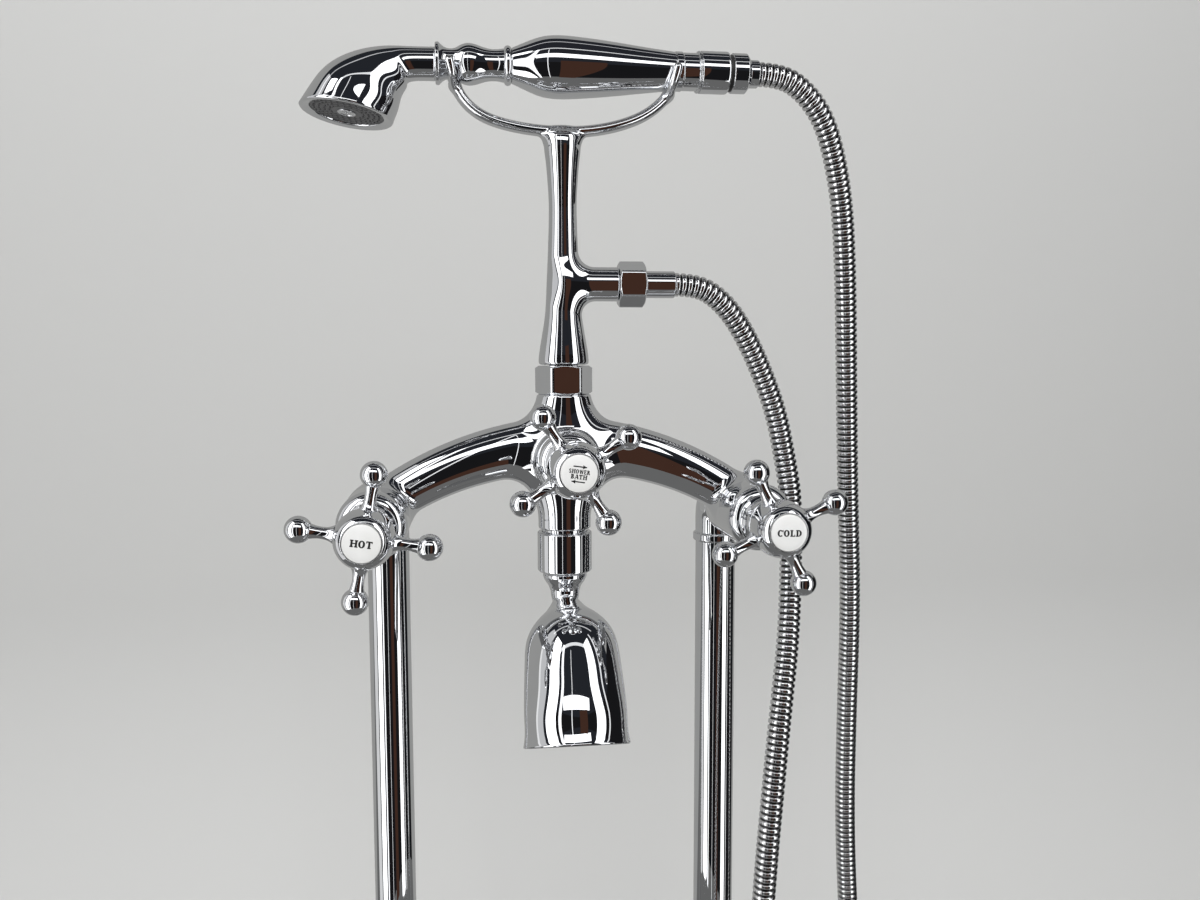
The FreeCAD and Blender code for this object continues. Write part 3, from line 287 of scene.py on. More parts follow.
def carried(path: Array, offsets: Array, hint: Array) -> Skin:
    """A section carried along a path, closed at both ends.

    Args:
        path: Points of the path, one for each row.
        offsets: Offsets from the path in its own cross frame, of shape (rows, columns, 2).
        hint: A direction that the path never takes; the frame's first axis leans to it.

    Returns:
        The skin.
    """
    tangent = unit(np.gradient(path, axis=0))
    side = unit(hint - tangent * (tangent @ hint)[:, None])
    up = np.cross(tangent, side)
    rings = path[:, None] + offsets[..., 0, None] * side[:, None] + offsets[..., 1, None] * up[:, None]
    return capped(rings, path[0], path[-1])


def leaning(centre: Array, ways: Array, side: Array, radius: Array, columns: int) -> Skin:
    """Circles in order, each square to its own way: centre + radius * (cos(phi) side + sin(phi) way x side).

    Args:
        centre: Middle of each circle.
        ways: The way that each circle faces, of length one.
        side: A direction square to all the ways.
        radius: Radius of each circle.
        columns: Points on each circle.

    Returns:
        The skin, closed at both ends.
    """
    phi = np.linspace(0, 2 * math.pi, columns, endpoint=False)
    up = np.cross(ways, side)
    rings = centre[:, None] + radius[:, None, None] * (
        np.cos(phi)[None, :, None] * side + np.sin(phi)[None, :, None] * up[:, None])
    return capped(rings, centre[0], centre[-1])


def circle_offsets(radii: Array, sides: int) -> Array:
    """Offsets of round sections with the given radii."""
    phi = np.linspace(0, 2 * math.pi, sides, endpoint=False)
    ring = np.column_stack([np.cos(phi), np.sin(phi)])
    return np.asarray(radii, float)[:, None, None] * ring[None]


def hexagonal(across_flats: float, length: float, base: Sequence[float], direction: Array, turn: float = 0.0) -> Skin:
    """A hexagon nut: at each height the radius is the smaller of the hexagon and the turned chamfer.

    The hexagon's radius at angle a from a flat's middle is (across_flats / 2) / cos(a), eased at its corners.

    Args:
        across_flats: Width over two flats.
        length: Length along the axis.
        base: Middle of the first end face.
        direction: The axis.
        turn: Angle in degrees of a corner from the cross frame's first axis.

    Returns:
        The skin, closed at both ends.
    """
    corner_ease, softness, face_share, slope = 0.35, 0.06, 0.985, 0.6
    flat = across_flats / 2
    corner = across_flats / math.sqrt(3)
    spread = np.array([0.0, 0.5, 1.2, 2.5, 5.0, 9.0, 15.0, 22.0])
    local = np.concatenate([-30 + spread, (30 - spread)[::-1]])
    phi = np.radians((np.arange(6)[:, None] * 60 + local[None] + 30 + turn).ravel()[
        np.tile(np.arange(len(local)) < len(local) - 1, 6)])
    inner = np.radians((np.degrees(phi) - turn) % 60 - 30)
    radius = flat / np.cos(inner)
    limit = corner - corner_ease
    radius = limit - np.logaddexp(0, (limit - radius) / softness) * softness
    chamfer = (corner - flat * face_share) * slope
    near = np.array([0.0, 0.12, 0.3, 0.5, 0.7, 0.85, 1.0, 1.15, 1.5]) * chamfer
    rows = np.concatenate([near, (length - near)[::-1]])
    edge = np.minimum(rows, length - rows)
    allowed = flat * face_share + edge / slope
    r = np.minimum(radius[None, :], allowed[:, None])
    side, up = across(direction)
    out = np.cos(phi)[:, None] * side + np.sin(phi)[:, None] * up
    base = np.asarray(base, float)
    rings = base + rows[:, None, None] * direction + r[..., None] * out
    inset = base + (r[0] * 0.93)[:, None] * out
    far = inset + direction * length
    rings = np.concatenate([inset[None], rings, far[None]])
    return capped(rings, base, base + direction * length)


# ---- forms that flow into one another ----------------------------------------------------------------------
def bar(a: Sequence[float], b: Sequence[float], radius: float, round_a: float, round_b: float) -> Field:
    """Distance to a cylinder from a to b whose two end edges are rounded by their own radii."""
    a, b = np.asarray(a, float), np.asarray(b, float)
    length = float(np.linalg.norm(b - a))
    axis = (b - a) / length

    def distance(p: Array) -> Array:
        """Signed distance of points."""
        along = (p - a) @ axis
        out = np.linalg.norm((p - a) - along[..., None] * axis, axis=-1)
        soft = np.where(along < length / 2, round_a, round_b)
        over_r, over_l = out - (radius - soft), np.abs(along - length / 2) - (length / 2 - soft)
        outside = np.hypot(np.maximum(over_r, 0), np.maximum(over_l, 0))
        return np.minimum(np.maximum(over_r, over_l), 0) + outside - soft

    return distance


def bent_bar(centre: Sequence[float], first: Array, second: Array, bend: float, half_angle: float,
             radius: float, swell: float = 0.0) -> Field:
    """Distance to a bar bent to a circle, up to half_angle each side of the second axis.

    Its section is a circle at the ends; towards the middle it grows taller in the plane of the bend by up to
    ``swell`` times (1 - angle / half_angle) ** 1.5.
    """
    centre = np.asarray(centre, float)
    third = np.cross(first, second)

    def distance(p: Array) -> Array:
        """Signed distance of points."""
        u, v, w = (p - centre) @ first, (p - centre) @ second, (p - centre) @ third
        a = np.clip(np.arctan2(u, v), -half_angle, half_angle)
        tall = 1 + swell / radius * (1 - np.abs(a) / half_angle) ** 1.5
        flat = np.hypot(u - bend * np.sin(a), v - bend * np.cos(a)) / tall
        return np.hypot(flat, w) - radius

    return distance


def flowing(first: Array, second: Array, radius: float | Array) -> Array:
    """Union of two distances with a round fillet of the given radius between them, which may change with place."""
    a, b = np.maximum(radius - first, 0), np.maximum(radius - second, 0)
    return np.maximum(radius, np.minimum(first, second)) - np.hypot(a, b)


def trimmed(first: Array, second: Array, radius: float) -> Array:
    """What lies in both, with the edge between them rounded."""
    return -flowing(-first, -second, radius)


def netted(distance: Field, low: Sequence[float], high: Sequence[float], step: float) -> Skin:
    """The surface where a distance is zero, as a net over a grid, then drawn exactly on to it.

    Each cell that the surface crosses gets one point, the mean of the crossings on its edges, and each grid
    edge that it crosses gets one face. Four Newton steps along the gradient put the points on the surface.

    Args:
        distance: The signed distance.
        low: Lowest corner of the grid.
        high: Highest corner of the grid.
        step: Grid spacing.

    Returns:
        The skin, with the gradient as its normals.
    """
    axes = [np.arange(a, b + step, step) for a, b in zip(low, high)]
    grid = np.stack(np.meshgrid(*axes, indexing="ij"), axis=-1)
    value = distance(grid.reshape(-1, 3)).reshape(grid.shape[:3])
    cells = tuple(n - 1 for n in value.shape)
    total, crossings = np.zeros(cells + (3,)), np.zeros(cells)
    quads = []
    for axis in range(3):
        others = [k for k in range(3) if k != axis]
        low_end = np.take(value, range(cells[axis]), axis=axis)
        high_end = np.take(value, range(1, cells[axis] + 1), axis=axis)
        crossed = (low_end < 0) != (high_end < 0)
        share = np.where(crossed, low_end / np.where(low_end == high_end, 1, low_end - high_end), 0)
        place = np.take(grid, range(cells[axis]), axis=axis).copy()
        place[..., axis] += share * step
        for shift in ((0, 0), (0, 1), (1, 0), (1, 1)):
            window = [slice(None)] * 3
            for k, s in zip(others, shift):
                window[k] = slice(s, s + cells[k])
            window = tuple(window)
            crossings += crossed[window]
            total += place[window] * crossed[window][..., None]
        quads.append((axis, others, crossed, low_end < 0))
    used = crossings > 0
    number = np.full(cells, -1)
    number[used] = np.arange(int(used.sum()))
    points = total[used] / crossings[used][:, None]
    faces = []
    for axis, others, crossed, inside in quads:
        inner = crossed.copy()
        for k in others:
            edge = [slice(None)] * 3
            edge[k] = 0
            inner[tuple(edge)] = False
            edge[k] = -1
            inner[tuple(edge)] = False
        at = np.argwhere(inner)
        corners = []
        for s, t in ((-1, -1), (0, -1), (0, 0), (-1, 0)):
            cell = at.copy()
            cell[:, others[0]] += s
            cell[:, others[1]] += t
            corners.append(number[tuple(cell.T)])
        quad = np.column_stack(corners)
        flip = inside[tuple(at.T)] == (axis == 1)
        quad[flip] = quad[flip][:, ::-1]
        faces.append(quad)
    for _ in range(4):
        slope = gradient(distance, points)
        points = points - slope * (distance(points) / np.maximum((slope ** 2).sum(-1), 1e-6))[:, None]
    return Skin(points, [np.concatenate(faces)], unit(gradient(distance, points)))


def gradient(distance: Field, points: Array, reach: float = 0.02) -> Array:
    """Central differences of a distance along the three axes."""
    shifts = np.eye(3) * reach
    return np.column_stack([(distance(points + s) - distance(points - s)) / (2 * reach) for s in shifts])


# ---- objects and finishes ----------------------------------------------------------------------------------
def placed(name: str, data: object) -> bpy.types.Object:
    """A new object with the given data, in the scene."""
    obj = bpy.data.objects.new(name, data)
    bpy.context.scene.collection.objects.link(obj)
    return obj


def tune(node: bpy.types.Node, **values: object) -> bpy.types.Node:
    """Sets a node's properties and sockets by name, with _ for a space, and colours without their alpha."""
    for name, value in values.items():
        if hasattr(node, name):
            setattr(node, name, value)
        else:
            node.inputs[name.replace("_", " ")].default_value = (*value, 1.0) if isinstance(value, tuple) else value
    return node


def add(tree: bpy.types.NodeTree, kind: str, place: tuple[float, float], **values: object) -> bpy.types.Node:
    """Adds a shader node and sets its properties and sockets."""
    node = tree.nodes.new(kind)
    node.location = place
    return tune(node, **values)


def smear_group() -> bpy.types.NodeTree:
    """Group for handled and wiped surfaces: large soft patches and fine specks.

    Returns:
        A node group with inputs Patch Scale, Base and Spread, and outputs Roughness, Height and Mask.
    """
    found = bpy.data.node_groups.get("wiped_surface")
    if found:
        return found
    group = bpy.data.node_groups.new("wiped_surface", "ShaderNodeTree")
    for name, value in (("Patch Scale", 30.0), ("Base", 0.05), ("Spread", 0.05)):
        socket = group.interface.new_socket(name, in_out="INPUT", socket_type="NodeSocketFloat")
        socket.default_value = value
    for name in ("Roughness", "Height", "Mask"):
        group.interface.new_socket(name, in_out="OUTPUT", socket_type="NodeSocketFloat")
    inside = add(group, "NodeGroupInput", (-900, 0))
    outside = add(group, "NodeGroupOutput", (500, 0))
    place = add(group, "ShaderNodeTexCoord", (-900, -260))
    patches = add(group, "ShaderNodeTexNoise", (-640, 100), Detail=3.0, Roughness=0.55)
    specks = add(group, "ShaderNodeTexNoise", (-640, -220), Scale=900.0, Detail=2.0)
    shape = add(group, "ShaderNodeMapRange", (-400, 100), From_Min=0.42, From_Max=0.72)
    mix = add(group, "ShaderNodeMath", (-180, -80), operation="MULTIPLY_ADD")
    mix.inputs[1].default_value = 0.25
    scaled = add(group, "ShaderNodeMath", (40, 60), operation="MULTIPLY_ADD")
    for source, output, target, socket in (
        (inside, "Patch Scale", patches, "Scale"), (place, "Object", patches, "Vector"),
        (place, "Object", specks, "Vector"), (patches, "Fac", shape, "Value"), (specks, "Fac", mix, 0),
        (shape, "Result", mix, 2), (mix, 0, scaled, 0), (inside, "Spread", scaled, 1), (inside, "Base", scaled, 2),
        (scaled, 0, outside, "Roughness"), (patches, "Fac", outside, "Height"), (shape, "Result", outside, "Mask"),
    ):
        group.links.new(source.outputs[output], target.inputs[socket])
    return group


@dataclass(frozen=True)
class Finish:
    """A finish of the filler: a metal, glaze or plastic with wiped patches in its gloss.

    Attributes:
        name: Material name.
        slot: The record's material slot.
        colour: Base colour, linear.
        shade: Colour that its wiped patches turn towards.
        metallic: 1 for metals.
        rough: Roughness where the surface is not wiped.
        spread: How much rougher its wiped patches are.
        patch: Scale of the patches, per metre.
        bump: Height of its waviness, as bump strength.
        coat: Weight of a clear glaze over it.
        groove: Painted shade: the colour that the bottoms of grooves are darkened to, as deep as the mesh says each
            point lies.
    """

    name: str
    slot: str
    colour: tuple[float, float, float]
    shade: tuple[float, float, float]
    metallic: float = 0.0
    rough: float = 0.4
    spread: float = 0.1
    patch: float = 40.0
    bump: float = 0.0
    coat: float = 0.0
    groove: Optional[tuple[float, float, float]] = None

    def material(self) -> bpy.types.Material:
        """Makes the material, or gives the one already made."""
        found = bpy.data.materials.get(self.name)
        if found:
            return found
        made = bpy.data.materials.new(self.name)
        made.use_nodes = True
        tree = made.node_tree
        shader = tune(tree.nodes["Principled BSDF"], Metallic=self.metallic, Coat_Weight=self.coat, Coat_Roughness=0.03)
        wiped = add(tree, "ShaderNodeGroup", (-520, -120), node_tree=smear_group(), Patch_Scale=self.patch,
                    Base=self.rough, Spread=self.spread)
        tint = add(tree, "ShaderNodeMix", (-260, 160), data_type="RGBA", A=self.colour, B=self.shade)
        link = tree.links.new
        link(wiped.outputs["Mask"], tint.inputs["Factor"])
        colour = tint.outputs["Result"]
        # Painted shade: the base colour is mixed towards the groove colour where the mesh says a point lies deep in a
        # groove.
        if self.groove:
            depth = add(tree, "ShaderNodeAttribute", (-260, 380), attribute_name="groove")
            groove_shading = add(tree, "ShaderNodeMix", (-40, 260), data_type="RGBA", B=self.groove)
            link(depth.outputs["Fac"], groove_shading.inputs["Factor"])
            link(colour, groove_shading.inputs["A"])
            colour = groove_shading.outputs["Result"]
        link(colour, shader.inputs["Base Color"])
        link(wiped.outputs["Roughness"], shader.inputs["Roughness"])
        if self.bump:
            wave = add(tree, "ShaderNodeBump", (-260, -320), Strength=self.bump, Distance=0.001)
            link(wiped.outputs["Height"], wave.inputs["Height"])
            link(wave.outputs["Normal"], shader.inputs["Normal"])
        return made


CHROME = Finish("polished_chrome", "chrome", (0.80, 0.81, 0.83), (0.77, 0.78, 0.80), 1.0, 0.010, 0.022, 45.0, 0.010)
# The hose's groove colour is painted shade, darkening the bottoms of its grooves.
HOSE_METAL = Finish("hose_steel", "hose_metal", (0.82, 0.82, 0.83), (0.72, 0.72, 0.73), 1.0, 0.03, 0.04, 120.0,
                    groove=(0.04, 0.04, 0.04))
GLAZE = Finish("white_ceramic", "ceramic", (0.86, 0.86, 0.85), (0.84, 0.84, 0.82), 0.0, 0.12, 0.05, 60.0, 0.01, 0.6)
LETTER_BLACK = Finish("letter_enamel", "ceramic", (0.002, 0.002, 0.002), (0.003, 0.003, 0.003), 0.0, 0.6, 0.05, 80.0)
SPRAY_GREY = Finish("spray_face", "spray_grey", (0.10, 0.10, 0.105), (0.13, 0.13, 0.135), 0.0, 0.32, 0.12, 160.0, 0.05)
BLACK = Finish("black_ring", "black_plastic", (0.012, 0.012, 0.012), (0.02, 0.02, 0.02), 0.0, 0.35, 0.15, 90.0, 0.02)
BRASS = Finish("machined_brass", "brass", (0.62, 0.45, 0.20), (0.50, 0.34, 0.14), 1.0, 0.28, 0.15, 70.0, 0.05)
RUBBER = Finish("seal_rubber", "rubber", (0.02, 0.02, 0.02), (0.035, 0.035, 0.035), 0.0, 0.65, 0.15, 120.0, 0.1)
STEEL = Finish("screw_steel", "steel", (0.55, 0.55, 0.56), (0.45, 0.45, 0.46), 1.0, 0.3, 0.15, 90.0, 0.05)
SLIP = Finish("slip_ring", "slip_plastic", (0.78, 0.78, 0.74), (0.72, 0.72, 0.67), 0.0, 0.45, 0.1, 90.0, 0.02)


@dataclass
class Piece:
    """One visible piece: its skin, finish, body and the frame nodes that it stands for."""

    name: str
    skin: Skin
    finish: Finish
    body: Optional[Body] = Body.MIXER
    nodes: tuple[str, ...] = ()

    def make(self) -> bpy.types.Object:
        """Writes the mesh in metres, dresses it and puts it on its body."""
        mesh = bpy.data.meshes.new(self.name)
        points = (self.skin.points + MIXER_ORIGIN) * MM
        faces = [row for block in self.skin.faces for row in block.tolist()]
        mesh.from_pydata(points.tolist(), [], faces)
        mesh.shade_smooth()
        mesh.update()
        if self.skin.normals is not None:
            mesh.normals_split_custom_set_from_vertices(self.skin.normals.tolist())
        # The groove depth goes on the mesh for the finish to paint shade in the grooves.
        if self.skin.groove is not None:
            mesh.attributes.new("groove", "FLOAT", "POINT").data.foreach_set("value", self.skin.groove)
        mesh.materials.append(self.finish.material())
        obj = placed(self.name, mesh)
        if self.body is not None:
            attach(obj, self.body.value)
        if self.nodes:
            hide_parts(*self.nodes)
        log.info("%s: %d points", self.name, len(points))
        return obj


# ---- standpipes and feet -----------------------------------------------------------------------------------
@dataclass
class Standpipes:
    """The two floor pipes with their covers, ring collars, elbows and unions."""

    pipe_r: float = 13.5
    pipe_y: float = BODY_REACH
    foot: float = -VALVE_HEIGHT
    cover_r: float = 41.0
    cover_h: float = 34.0
    elbow_r: float = 13.7
    bend_r: float = 17.0
    ring_r: float = 15.2
    ring_top: float = -26.0
    ring_h: float = 6.0
    shoulder_r: float = 18.8
    socket: float = 15.0
    elbow_end: float = 46.0
    union_at: float = 37.05

    def cover(self, x: float) -> Skin:
        """Domed flange cover, open below, with a rolled foot and a neck round the pipe."""
        outer = np.concatenate([
            [(0.0, self.cover_r), (3.0, self.cover_r)],
            curve([(3.0, self.cover_r), (9.0, 37.5), (17.0, 28.0), (24.0, 20.8), (29.0, self.shoulder_r)], 30)[1:],
            [(self.cover_h, self.shoulder_r), (self.cover_h, self.pipe_r + 0.3)]])
        inner = np.column_stack([outer[:-1, 0] - 1.2, outer[:-1, 1] - 1.5])[::-1]
        inner = inner[inner[:, 0] > 0]
        inner = inner[inner[:, 1] > self.pipe_r + 0.3]
        outline = eased(np.concatenate([outer, inner, [(0.0, self.cover_r - 1.5)]]), 0.6)
        return turned(outline, (x, self.pipe_y, self.foot), UP, 96, closed=True)

    def pipe(self, x: float) -> Skin:
        """Plain tube from the flange to the ring collar."""
        top = VALVE_HEIGHT + self.ring_top - self.ring_h
        rows = np.linspace(self.socket, top, 12)
        outline = [(self.socket, 0.0), *[(z, self.pipe_r) for z in rows], (top, 0.0)]
        return turned(eased(outline), (x, self.pipe_y, self.foot), UP, 96)

    def collar(self, x: float) -> Skin:
        """Ring collar where the pipe enters the elbow, with rounded edges."""
        low = self.ring_top - self.ring_h
        outline = [(low, 0), (low, self.ring_r - 1.0), (low + 1.0, self.ring_r), (self.ring_top - 1.0, self.ring_r),
                   (self.ring_top, self.ring_r - 1.0), (self.ring_top, 0)]
        return turned(eased(outline, 0.6), (x, self.pipe_y, 0), UP, 96)

    def elbow(self, x: float) -> Skin:
        """Round bend from straight up to straight forwards, and on to the union."""
        a = np.linspace(0, math.pi / 2, 28)
        bend = np.column_stack([
            np.full_like(a, x), self.pipe_y - self.bend_r + self.bend_r * np.cos(a),
            -self.bend_r + self.bend_r * np.sin(a)])
        start = np.linspace([x, self.pipe_y, self.ring_top - 1], bend[0], 8)[:-1]
        end = np.linspace(bend[-1], [x, self.elbow_end, 0.0], 8)[1:]
        path = np.concatenate([start, bend, end])
        return carried(path, circle_offsets(np.full(len(path), self.elbow_r), 72), RIGHT)

    def union(self, x: float) -> Skin:
        """Hexagon union nut between elbow and chest."""
        return hexagonal(30.0, 15.0, (x, self.union_at, 0), AWAY, 30.0)

    def tail(self, x: float) -> Skin:
        """Threaded tail behind the chest: a shallow row of ridges, mean + depth * cos(2 pi along / pitch)."""
        start, end, step, mean, depth, pitch = 18.0, 40.0, 0.25, 10.2, 0.25, 1.5
        rows = np.arange(start, end, step)
        radius = mean + depth * np.cos(rows * 2 * math.pi / pitch)
        outline = [(start, 0.0), *zip(rows, radius), (end, 0.0)]
        return turned(outline, (x, 0, 0), AWAY, 48)

    def build(self) -> None:
        """Makes every piece on both sides."""
        for side, x in (("left", -HALF_SPACING), ("right", HALF_SPACING)):
            Piece(side + "_cover", self.cover(x), CHROME, nodes=(side + "_flange_cover",)).make()
            Piece(side + "_pipe", self.pipe(x), CHROME, nodes=(side + "_standpipe",)).make()
            bend = Skin.joined([self.elbow(x), self.collar(x)])
            Piece(side + "_bend", bend, CHROME, nodes=(side + "_elbow",)).make()
        nuts = Skin.joined([self.union(x) for x in (-HALF_SPACING, HALF_SPACING)])
        Piece("union_nuts", nuts, CHROME, nodes=("inlet_union_nuts",)).make()
        tails = Skin.joined([self.tail(x) for x in (-HALF_SPACING, HALF_SPACING)])
        Piece("body_tails", tails, CHROME).make()


# ---- mixer body --------------------------------------------------------------------------------------------
@dataclass
class MixerBody:
    """The crescent casting: two arms, two chests, the barrel and the diverter's chest."""

    arm_r: float = 13.8
    crescent_r: float = 185.0
    crescent_drop: float = 145.0
    chest_r: float = 19.6
    chest_back: float = 20.0
    chest_front: float = 44.0
    barrel_r: float = 15.7
    barrel_top: float = 70.7
    barrel_bottom: float = -9.5
    diverter_rise: float = 32.4
    diverter_front: float = 36.0
    diverter_r: float = 18.4
    arm_swell: float = 4.0
    arm_fillet: tuple[float, float] = (14.0, 22.0)
    chest_edges: tuple[float, float] = (3.0, 8.0)
    chest_fillet: float = 6.0
    diverter_edges: tuple[float, float] = (1.0, 7.0)
    diverter_fillet: float = 2.5

    def distance(self, p: Array) -> Array:
        """Signed distance of the whole casting, its forms flowing into each other."""
        half = math.asin(HALF_SPACING / self.crescent_r)
        arms = bent_bar((0, 0, -self.crescent_drop), RIGHT, UP, self.crescent_r, half, self.arm_r,
                        self.arm_swell)(p)
        barrel = bar((0, 0, self.barrel_bottom), (0, 0, self.barrel_top), self.barrel_r, 1.0, 1.2)(p)
        over, under = self.arm_fillet
        crown = self.crescent_r - self.crescent_drop
        above = np.tanh((p[:, 2] - crown) / 8.0)
        shape = flowing(arms, barrel, (over + under) / 2 + (over - under) / 2 * above)
        for x in (-HALF_SPACING, HALF_SPACING):
            chest = bar((x, self.chest_back, 0), (x, -self.chest_front, 0), self.chest_r, *self.chest_edges)(p)
            shape = flowing(shape, chest, self.chest_fillet)
        rise = self.diverter_rise
        diverter = bar((0, 0, rise), (0, -self.diverter_front, rise), self.diverter_r, *self.diverter_edges)(p)
        return flowing(shape, diverter, self.diverter_fillet)

    def build(self) -> None:
        """Makes the casting and the short nipple under it."""
        skin = netted(self.distance, (-132, -47, -23), (132, 24, 73), 1.2)
        Piece("mixer_casting", skin, CHROME, nodes=("mixer_body",)).make()
        nipple = [(-25.0, 0.0), (-25.0, 13.4), (-9.0, 13.4), (-9.0, 0.0)]
        Piece("body_nipple", turned(eased(nipple), (0, 0, 0), UP), CHROME).make()


# ---- lettering ---------------------------------------------------------------------------------------------
@dataclass(frozen=True)
class Lettering:
    """Plain capitals with thick stems, thin bars and slab serifs, in units of their own height."""

    stem: float = 0.29
    thin: float = 0.145
    serif: float = 0.09
    gap: float = 0.12

    def post(self, x: float, low: float = 0.0, high: float = 1.0) -> list[Array]:
        """An upright stem whose left edge is at x, with serifs at both ends."""
        s, t, w = self.serif, self.thin, self.stem
        return [np.array([(x, low), (x + w, low), (x + w, high), (x, high)]),
                np.array([(x - s, low), (x + w + s, low), (x + w + s, low + t), (x - s, low + t)]),
                np.array([(x - s, high - t), (x + w + s, high - t), (x + w + s, high), (x - s, high)])]

    def beam(self, x0: float, x1: float, y: float) -> list[Array]:
        """A thin level bar."""
        return [np.array([(x0, y), (x1, y), (x1, y + self.thin), (x0, y + self.thin)])]

    def slant(self, x0: float, y0: float, x1: float, y1: float, width: float) -> list[Array]:
        """A sloping stroke between two heights."""
        return [np.array([(x0, y0), (x0 + width, y0), (x1 + width, y1), (x1, y1)])]

    def bowl(self, x: float, y: float, wide: float, tall: float, start: float, end: float) -> list[Array]:
        """A curved stroke between two ellipses, thick at its sides and thin above and below."""
        a = np.radians(np.linspace(start, end, 21))
        ring = np.column_stack([np.cos(a), np.sin(a)])
        outer = (x, y) + ring * (wide, tall)
        inner = (x, y) + ring * (wide - self.stem * 1.05, tall - self.thin)
        return [np.array([outer[i], outer[i + 1], inner[i + 1], inner[i]]) for i in range(len(a) - 1)]

    def arrow(self, way: int) -> list[Array]:
        """A level arrow, its head at the right for 1 and at the left for -1."""
        return [np.array([(0.0, 0.36), (3.2, 0.36), (3.2, 0.64), (0.0, 0.64)]),
                np.array([(1.6 + way * 1.6, 0.5), (1.6 + way * 0.7, 0.05), (1.6 + way * 0.7, 0.95)])]

    def glyph(self, sign: str) -> tuple[float, list[Array]]:
        """Width and strokes of one capital; ^ and v are the level arrows above and below the words."""
        s, t, w = self.serif, self.thin, self.stem
        post, beam, slant, bowl = self.post, self.beam, self.slant, self.bowl
        full = (0.47, 0.5, 0.47, 0.52)
        return {
            "H": (1.02, post(s) + post(0.72) + beam(s, 0.8, 0.46)),
            "O": (0.94, bowl(*full, 0, 360)),
            "T": (0.86, post(0.43 - w / 2)[:2] + beam(0.0, 0.86, 1 - t)
                  + slant(0.0, 0.72, 0.0, 1.0, t) + slant(0.86 - t, 0.72, 0.86 - t, 1.0, t)),
            "C": (0.86, bowl(*full, 42, 318) + slant(0.78, 0.70, 0.78, 1.0, t)),
            "L": (0.80, post(s) + beam(s, 0.80, 0.0) + slant(0.80 - t, 0.0, 0.80 - t, 0.3, t)),
            "D": (0.94, post(s) + bowl(0.42, 0.5, 0.52, 0.5, -90, 90) + beam(s, 0.45, 0.0) + beam(s, 0.45, 1 - t)),
            "S": (0.72, bowl(0.36, 0.73, 0.34, 0.29, 20, 270) + bowl(0.36, 0.27, 0.36, 0.29, 90, -160)),
            "W": (1.26, slant(0.30, 0, 0.02, 1, w) + slant(0.36, 0, 0.62, 1, t) + slant(0.82, 0, 0.54, 1, w)
                  + slant(0.90, 0, 1.14, 1, t)),
            "E": (0.80, post(s) + beam(s, 0.78, 0.0) + beam(s, 0.64, 0.46) + beam(s, 0.74, 1 - t)
                  + slant(0.78 - t, 0, 0.78 - t, 0.26, t) + slant(0.74 - t, 0.76, 0.74 - t, 1, t)),
            "R": (0.92, post(s) + bowl(0.40, 0.74, 0.36, 0.26, -90, 90) + beam(s, 0.42, 1 - t)
                  + beam(s, 0.42, 0.48) + slant(0.68, 0, 0.40, 0.5, w)),
            "B": (0.86, post(s) + bowl(0.40, 0.75, 0.36, 0.25, -90, 90) + bowl(0.40, 0.27, 0.42, 0.27, -90, 90)
                  + beam(s, 0.42, 0.0) + beam(s, 0.42, 0.47) + beam(s, 0.42, 1 - t)),
            "A": (0.98, slant(0.06, 0, 0.42, 1, t) + slant(0.72, 0, 0.42, 1, w) + beam(0.2, 0.74, 0.28)
                  + beam(0.0, 0.26, 0.0) + beam(0.62, 1.0, 0.0)),
            "^": (3.2, self.arrow(1)),
            "v": (3.2, self.arrow(-1)),
        }[sign]

    def strokes(self, word: str, size: float, squeeze: float) -> list[Array]:
        """Lays a word out about the origin.

        Args:
            word: Its capitals.
            size: Their height.
            squeeze: Their width as a share of the plain width.

        Returns:
            The flat points round each stroke.
        """
        glyphs = [self.glyph(sign) for sign in word]
        total = sum(width for width, _ in glyphs) + self.gap * (len(glyphs) - 1)
        out, x = [], -total / 2
        for width, shapes in glyphs:
            for shape in shapes:
                area = np.cross(shape - shape[0], np.roll(shape, -1, axis=0) - shape[0]).sum()
                out.append(((shape if area > 0 else shape[::-1]) + (x, -0.5)) * (size * squeeze, size))
            x += width + self.gap
        return out


